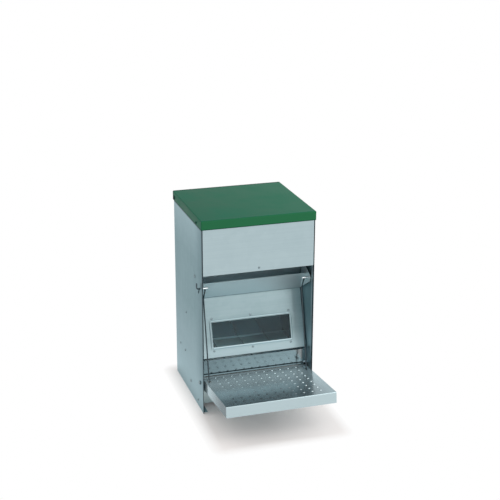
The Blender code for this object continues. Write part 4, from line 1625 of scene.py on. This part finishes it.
@dataclass
class Flap:
    """The swinging flap with its window.

    Attributes:
        foot: Y and Z of the flap's lower edge.
        bend: Y and Z of its fold.
        window_half: Half the window's width.
        window: Lower and upper edge of the window, along the slope.
        corner: Radius of the window's corners.
        corner_steps: Points round a corner.
        rim: Width of the raised rim.
        rim_steps: Points over the rim.
        proud: Height of the raised rim above the sheet.
        lap: How far the rounded rim laps over the raised one.
        seat: Room left under the rounded rim.
        fullness: Power that fills out the rim's arch.
        half_sheet: Half the sheet's thickness.
        screw_x: X of the outer screws.
        screw_rows: Places of the screws along the slope.
        screw_shank: Radius of a screw's shank.
        screw_head: Radius of a screw's head.
        screw_rim: Height of the head's seat and of its straight rim.
        screw_high: Height of the head's dome.
        socket: Radius of the recess in the head.
        socket_floor: Height of the recess's floor.
        pane_back: From the sheet to the back of the pane.
        nut: Radius of the nut at the pane and at its end.
        nut_high: Height of the nut.
        screw_sides: Faces round a screw.
    """

    foot: Flat = (0.044, 0.136)
    bend: Flat = (0.091, 0.287)
    window_half: float = 0.108
    window: Flat = (0.0267, 0.0923)
    corner: float = 0.0015
    corner_steps: int = 5
    rim: float = 0.0055
    rim_steps: int = 9
    proud: float = 0.0012
    lap: float = 0.0004
    seat: float = 0.0001
    fullness: float = 0.35
    half_sheet: float = SHEET_THICK / 2
    screw_x: float = 0.106
    screw_rows: Flat = (0.017, 0.102)
    screw_shank: float = 0.0016
    screw_head: float = 0.0030
    screw_rim: float = 0.0003
    screw_high: float = 0.0010
    socket: float = 0.0009
    socket_floor: float = 0.0006
    pane_back: float = 0.0026
    nut: Flat = (0.0028, 0.0026)
    nut_high: float = 0.0013
    screw_sides: int = 20

    def on_slope(self, points: np.ndarray) -> np.ndarray:
        """Moves points (across, along the slope, off the sheet) to the feeder.

        Args:
            points: The points.

        Returns:
            Their X, Y and Z.
        """
        run = np.subtract(self.bend, self.foot)
        run = run / np.linalg.norm(run)
        y = self.foot[0] + points[..., 1] * run[0] - points[..., 2] * run[1]
        z = self.foot[1] + points[..., 1] * run[1] + points[..., 2] * run[0]
        return np.stack([points[..., 0], y, z], axis=-1)

    def build(self) -> None:
        """Dresses the flap and adds the window's rounded rim and the screws."""
        Workshop.dress("flap", FLAP_SHEET)
        for word, _ in SIDES:
            Workshop.dress(f"flap_ear_{word}", FLAP_SHEET)
        Workshop.dress("window_pane", CLEAR_ACRYLIC)
        self.rim_bead()
        self.screws()

    def rim_bead(self) -> None:
        """The window's rim: an arch of (width * t, height * (sin pi t)^fullness) carried round it."""
        low, high = self.window
        reach = (self.window_half - self.corner, (high - low) / 2 - self.corner)
        turn = np.linspace(0.0, math.pi / 2, self.corner_steps)
        quarter = np.stack([np.cos(turn), np.sin(turn)], axis=1)
        signs = np.array([(1, 1), (-1, 1), (-1, -1), (1, -1)])
        order = np.array([quarter, quarter[::-1], quarter, quarter[::-1]])
        ways = (order * signs[:, None]).reshape(-1, 2)
        centres = np.repeat(signs * reach, self.corner_steps, 0)
        t = np.linspace(0.0, 1.0, self.rim_steps)
        out = self.corner - self.lap + t * (self.rim + 2 * self.lap)
        arch = np.sin(math.pi * t) ** self.fullness
        lift = self.half_sheet + self.seat + (self.proud + self.lap) * arch
        flat = centres[None] + out[:, None, None] * ways[None]
        spots = np.concatenate([flat, np.repeat(lift[:, None, None], len(ways), 1)], axis=-1)
        spots[..., 1] += (low + high) / 2
        shape = Shape.grid(self.on_slope(spots), True)
        Workshop.piece("window_rim_bead", shape, Body.FLAP, Slot.SHEET, FLAP_SHEET)

    def screw_profile(self) -> np.ndarray:
        """Profile of a pan-head screw with its nut: a shank between a flat nut and a recessed dome.

        Returns:
            Rows of distance off the sheet and radius.
        """
        front, back = self.half_sheet + self.screw_rim, -self.half_sheet - self.pane_back
        end = back - self.nut_high
        nut_wide, nut_end = self.nut
        shank = np.array(
            [
                (end, 0.0),
                (end, nut_end),
                (back, nut_wide),
                (back, self.screw_shank),
                (front, self.screw_shank),
                (front, self.screw_head),
            ]
        )
        pan = dome(front + self.screw_rim, self.screw_high, self.screw_head)[:-2]
        recess = np.array([(front + self.screw_high, self.socket), (front + self.socket_floor, 0.0)])
        return np.concatenate([shank, pan, recess])

    def screws(self) -> None:
        """Pan-head screws that hold the pane."""
        profile = self.screw_profile()
        off, on = self.on_slope(np.array([(0.0, 0.0, 1.0), (0.0, 0.0, 0.0)]))
        places = [(x, row) for row in self.screw_rows for x in (-self.screw_x, 0.0, self.screw_x)]
        for number, (x, row) in enumerate(places, 1):
            base = self.on_slope(np.array((x, row, 0.0)))
            shape = Shape.turned(profile, tuple(base), tuple(off - on), self.screw_sides)
            name = f"window_screw_{number}"
            Workshop.piece(f"{name}_turned", shape, Body.FLAP, Slot.WIRE, FIXING_ZINC, (name,))


@dataclass
class PullRods:
    """The bent wires from the flap down to the treadle.

    Attributes:
        radius: The wire's radius.
        x: Half the distance between the rods.
        tip_x: X of the outer tip.
        tip_rise: How far the outer tip turns up.
        pin: Y and Z of the pin in the flap's ear.
        kink: Y and Z of the kink.
        foot: Y and Z of the foot.
        hook: Length of the foot's hook.
        bend: Length that a bend takes off each run.
        sleeve_x: X of the sleeve's end at the ear, of its head's back and of its head's crown.
        sleeve_radius: The sleeve's radius.
        sleeve_head: Radius of the sleeve's head.
    """

    radius: float = 0.0017
    x: float = 0.134
    tip_x: float = 0.157
    tip_rise: float = 0.016
    pin: Flat = (0.030, 0.339)
    kink: Flat = (0.049, 0.304)
    foot: Flat = (-0.0008, 0.080)
    hook: float = 0.010
    bend: float = 0.005
    sleeve_x: Point = (0.1444, 0.1285, 0.1265)
    sleeve_radius: float = 0.0024
    sleeve_head: float = 0.0036

    def sleeve(self) -> np.ndarray:
        """Profile of the bright sleeve on the pin: a tube from the ear inward that ends in a domed head.

        Returns:
            Rows of X and radius.
        """
        start, neck, end = self.sleeve_x
        core = np.array(
            [
                (start, 0.0),
                (start, self.sleeve_radius),
                (neck, self.sleeve_radius),
                (neck, self.sleeve_head),
            ]
        )
        return np.concatenate([core, dome(-neck, neck - end, self.sleeve_head)[1:] * FACING_BACK])

    def build(self) -> None:
        """Makes both rods and their sleeves."""
        corners = np.array(
            [
                (self.tip_x, self.pin[0], self.pin[1] + self.tip_rise),
                (self.tip_x, *self.pin),
                (self.x, *self.pin),
                (self.x, *self.kink),
                (self.x, *self.foot),
                (self.x - self.hook, *self.foot),
            ]
        )
        rod = Shape.wire(eased(corners, self.bend), self.radius)
        sleeve = Shape.turned(self.sleeve(), (0.0, *self.pin), ACROSS)
        for (word, side), body in zip(SIDES, (Body.ROD_LEFT, Body.ROD_RIGHT)):
            name = f"pull_rod_{word}"
            Workshop.piece(f"{name}_wire", rod.mirrored(side), body, Slot.WIRE, ROD_WIRE, (name,))
            Workshop.piece(f"{name}_sleeve", sleeve.mirrored(side), body, Slot.WIRE, BRIGHT_ZINC)


@dataclass(frozen=True)
class Lamp:
    """A square soft light.

    Attributes:
        name: The lamp's name.
        place: Where it hangs.
        aim: The point that it faces.
        side: Edge length in metres.
        power: Watts.
    """

    name: str
    place: Point
    aim: Point
    side: float
    power: float

    def build(self) -> None:
        """Hangs the lamp, with its back turned away from the aim."""
        data = bpy.data.lights.new(self.name, "AREA")
        data.shape = "SQUARE"
        data.size = self.side
        data.energy = self.power
        lamp = bpy.data.objects.new(self.name, data)
        back = np.subtract(self.place, self.aim)
        back = back / np.linalg.norm(back)
        right = np.cross((0.0, 0.0, 1.0), back)
        right = right / np.linalg.norm(right)
        turn = Matrix((right, np.cross(back, right), back)).transposed().to_4x4()
        turn.translation = self.place
        lamp.matrix_world = turn
        bpy.context.scene.collection.objects.link(lamp)


KEY_LIGHT = Lamp(
    name="key_light",
    place=(1.3, -2.3, 2.5),
    aim=(0.0, -0.05, 0.22),
    side=3.0,
    power=42.0,
)
FILL_LIGHT = Lamp(
    name="fill_light",
    place=(-1.6, 0.6, 2.8),
    aim=(0.0, 0.0, 0.10),
    side=2.0,
    power=6.0,
)


@dataclass
class Stage:
    """Floor, white surround and soft studio light.

    Attributes:
        floor_half: Half the floor's side.
        floor_tone: The floor's colour.
        floor_dull: Colour of the floor's duller patches, as a share of that.
        floor_clouds: Patches per metre, and their octaves.
        floor_rough: The floor's roughness.
        footprint: Half the feeder's footprint along X and Y.
        near: Distance from the footprint within which the floor shows the feeder's shadow.
        far: Distance past which the floor is plain white.
        lift: Share of plain white in the shadow.
        thin_from: X where the shadow starts to thin out to the right.
        thin_to: X where it is thinnest.
        thin_share: Share of plain white there.
        sky: Strength of the surround as light on the feeder.
    """

    floor_half: float = 14.0
    floor_tone: Color = (0.95, 0.905, 0.885, 1.0)
    floor_dull: float = 0.985
    floor_clouds: Flat = (3.0, 2.0)
    floor_rough: float = 0.9
    footprint: Point = (0.150, 0.240, 0.0)
    near: float = 0.0
    far: float = 0.040
    lift: float = 0.07
    thin_from: float = -0.05
    thin_to: float = 0.12
    thin_share: float = 0.30
    sky: float = 0.80

    def build(self) -> None:
        """Makes the stage."""
        self.floor()
        self.world()
        KEY_LIGHT.build()
        FILL_LIGHT.build()

    @staticmethod
    def seen(kit: NodeTree) -> Socket:
        """What the camera, a mirror or the window sees, apart from light on the feeder.

        Args:
            kit: The tree that it goes into.

        Returns:
            A socket of 1 for such a ray and 0 for any other.
        """
        path = kit.node("ShaderNodeLightPath")
        both = kit.maths("MAXIMUM", path.outputs["Is Camera Ray"], path.outputs["Is Glossy Ray"])
        return kit.maths("MAXIMUM", both, path.outputs["Is Transmission Ray"])

    def floor(self) -> None:
        """The pale floor: lit and shadowed near the feeder, plain white further off."""
        half = self.floor_half
        mesh = bpy.data.meshes.new("studio_floor")
        corners = [(-half, -half, 0.0), (half, -half, 0.0), (half, half, 0.0), (-half, half, 0.0)]
        mesh.from_pydata(corners, [], [(0, 1, 2, 3)])
        mesh.materials.append(self.floor_material())
        floor = bpy.data.objects.new("studio_floor", mesh)
        bpy.context.scene.collection.objects.link(floor)

    def floor_material(self) -> bpy.types.Material:
        """A matt floor that gives way to plain white.

        Returns:
            The material.
        """
        made, kit, shader = Materials.blank("studio_floor")
        place = kit.place()
        dull = tuple(self.floor_dull * part for part in self.floor_tone[:3]) + (1.0,)
        tone = kit.blended(kit.noise(place, *self.floor_clouds), dull, self.floor_tone)
        kit.link(tone, shader.inputs["Base Color"])
        shader.inputs["Roughness"].default_value = self.floor_rough
        shader.inputs["Specular IOR Level"].default_value = 0.0
        white = kit.node("ShaderNodeEmission")
        white.inputs["Color"].default_value = WHITE
        mix = kit.node("ShaderNodeMixShader")
        share = kit.maths("MULTIPLY", self.plain_share(kit, place), self.seen(kit))
        kit.link(share, mix.inputs["Fac"])
        kit.link(shader.outputs["BSDF"], mix.inputs[1])
        kit.link(white.outputs["Emission"], mix.inputs[2])
        kit.link(mix.outputs["Shader"], made.node_tree.nodes["Material Output"].inputs["Surface"])
        return made

    def plain_share(self, kit: NodeTree, place: Socket) -> Socket:
        """Share of plain white, painted light over the feeder's shadow: by the distance from the footprint,
        and not less than it thins to the right.

        Args:
            kit: The floor's tree.
            place: Socket of the coordinates.

        Returns:
            The share's socket.
        """
        half_away = kit.vectors("ABSOLUTE", place)["Vector"]
        past = kit.vectors("SUBTRACT", half_away, self.footprint)["Vector"]
        outside = kit.vectors("MAXIMUM", past, (0.0, 0.0, 0.0))["Vector"]
        away = kit.vectors("LENGTH", outside)["Value"]
        rim = kit.mapped(away, (self.near, self.far), (self.lift, 1.0))
        thin = kit.mapped(kit.parted(place)["X"], (self.thin_from, self.thin_to), (0.0, self.thin_share))
        return kit.maths("MAXIMUM", rim, thin)

    def world(self) -> None:
        """A white surround that lights the feeder at a plain level."""
        world = bpy.data.worlds.new("studio")
        world.use_nodes = True
        kit = NodeTree(world.node_tree)
        shade = world.node_tree.nodes["Background"]
        shade.inputs["Color"].default_value = WHITE
        kit.link(kit.mapped(self.seen(kit), WHOLE, (self.sky, 1.0)), shade.inputs["Strength"])
        bpy.context.scene.world = world


@dataclass(frozen=True)
class PhotoCamera:
    """The camera, fitted to the photograph's corners.

    Attributes:
        focal_px: Focal length in pixels of a 500-pixel-wide image.
        yaw: Turn to the right of straight ahead, in degrees.
        pitch: Tilt down, in degrees.
        roll: Turn about the view line, in degrees.
        place: Position, measured from the housing's front edges.
        near: Nearest distance drawn.
    """

    focal_px: float = 1155.44
    yaw: float = 17.519
    pitch: float = 18.980
    roll: float = 0.131
    place: Point = (-0.85402, -2.62833, 1.38871)
    near: float = 0.05

    def build(self) -> None:
        """Makes the scene's camera."""
        yaw, pitch, roll = (math.radians(v) for v in (self.yaw, self.pitch, self.roll))
        level = math.cos(pitch)
        ahead = np.array([math.sin(yaw) * level, math.cos(yaw) * level, -math.sin(pitch)])
        flat = np.array([math.cos(yaw), -math.sin(yaw), 0.0])
        rise = np.cross(flat, ahead)
        right = flat * math.cos(roll) + rise * math.sin(roll)
        up = rise * math.cos(roll) - flat * math.sin(roll)
        data = bpy.data.cameras.new("photo_camera")
        data.sensor_width = SENSOR_MM
        data.lens = self.focal_px / IMAGE_SIDE * SENSOR_MM
        data.clip_start = self.near
        camera = bpy.data.objects.new("photo_camera", data)
        turn = Matrix((right, up, -ahead)).transposed().to_4x4()
        turn.translation = (self.place[0], self.place[1] - FRONT_SHIFT, self.place[2])
        camera.matrix_world = turn
        bpy.context.scene.collection.objects.link(camera)
        bpy.context.scene.camera = camera


def main() -> None:
    """Builds the scene."""
    logging.basicConfig(level=logging.INFO)
    for assembly in (Housing(), FeedGrid(), Lid(), Treadle(), Flap(), PullRods()):
        assembly.build()
    Stage().build()
    PhotoCamera().build()
    bpy.context.scene.view_settings.view_transform = "Standard"


if __name__ == "__main__":
    main()
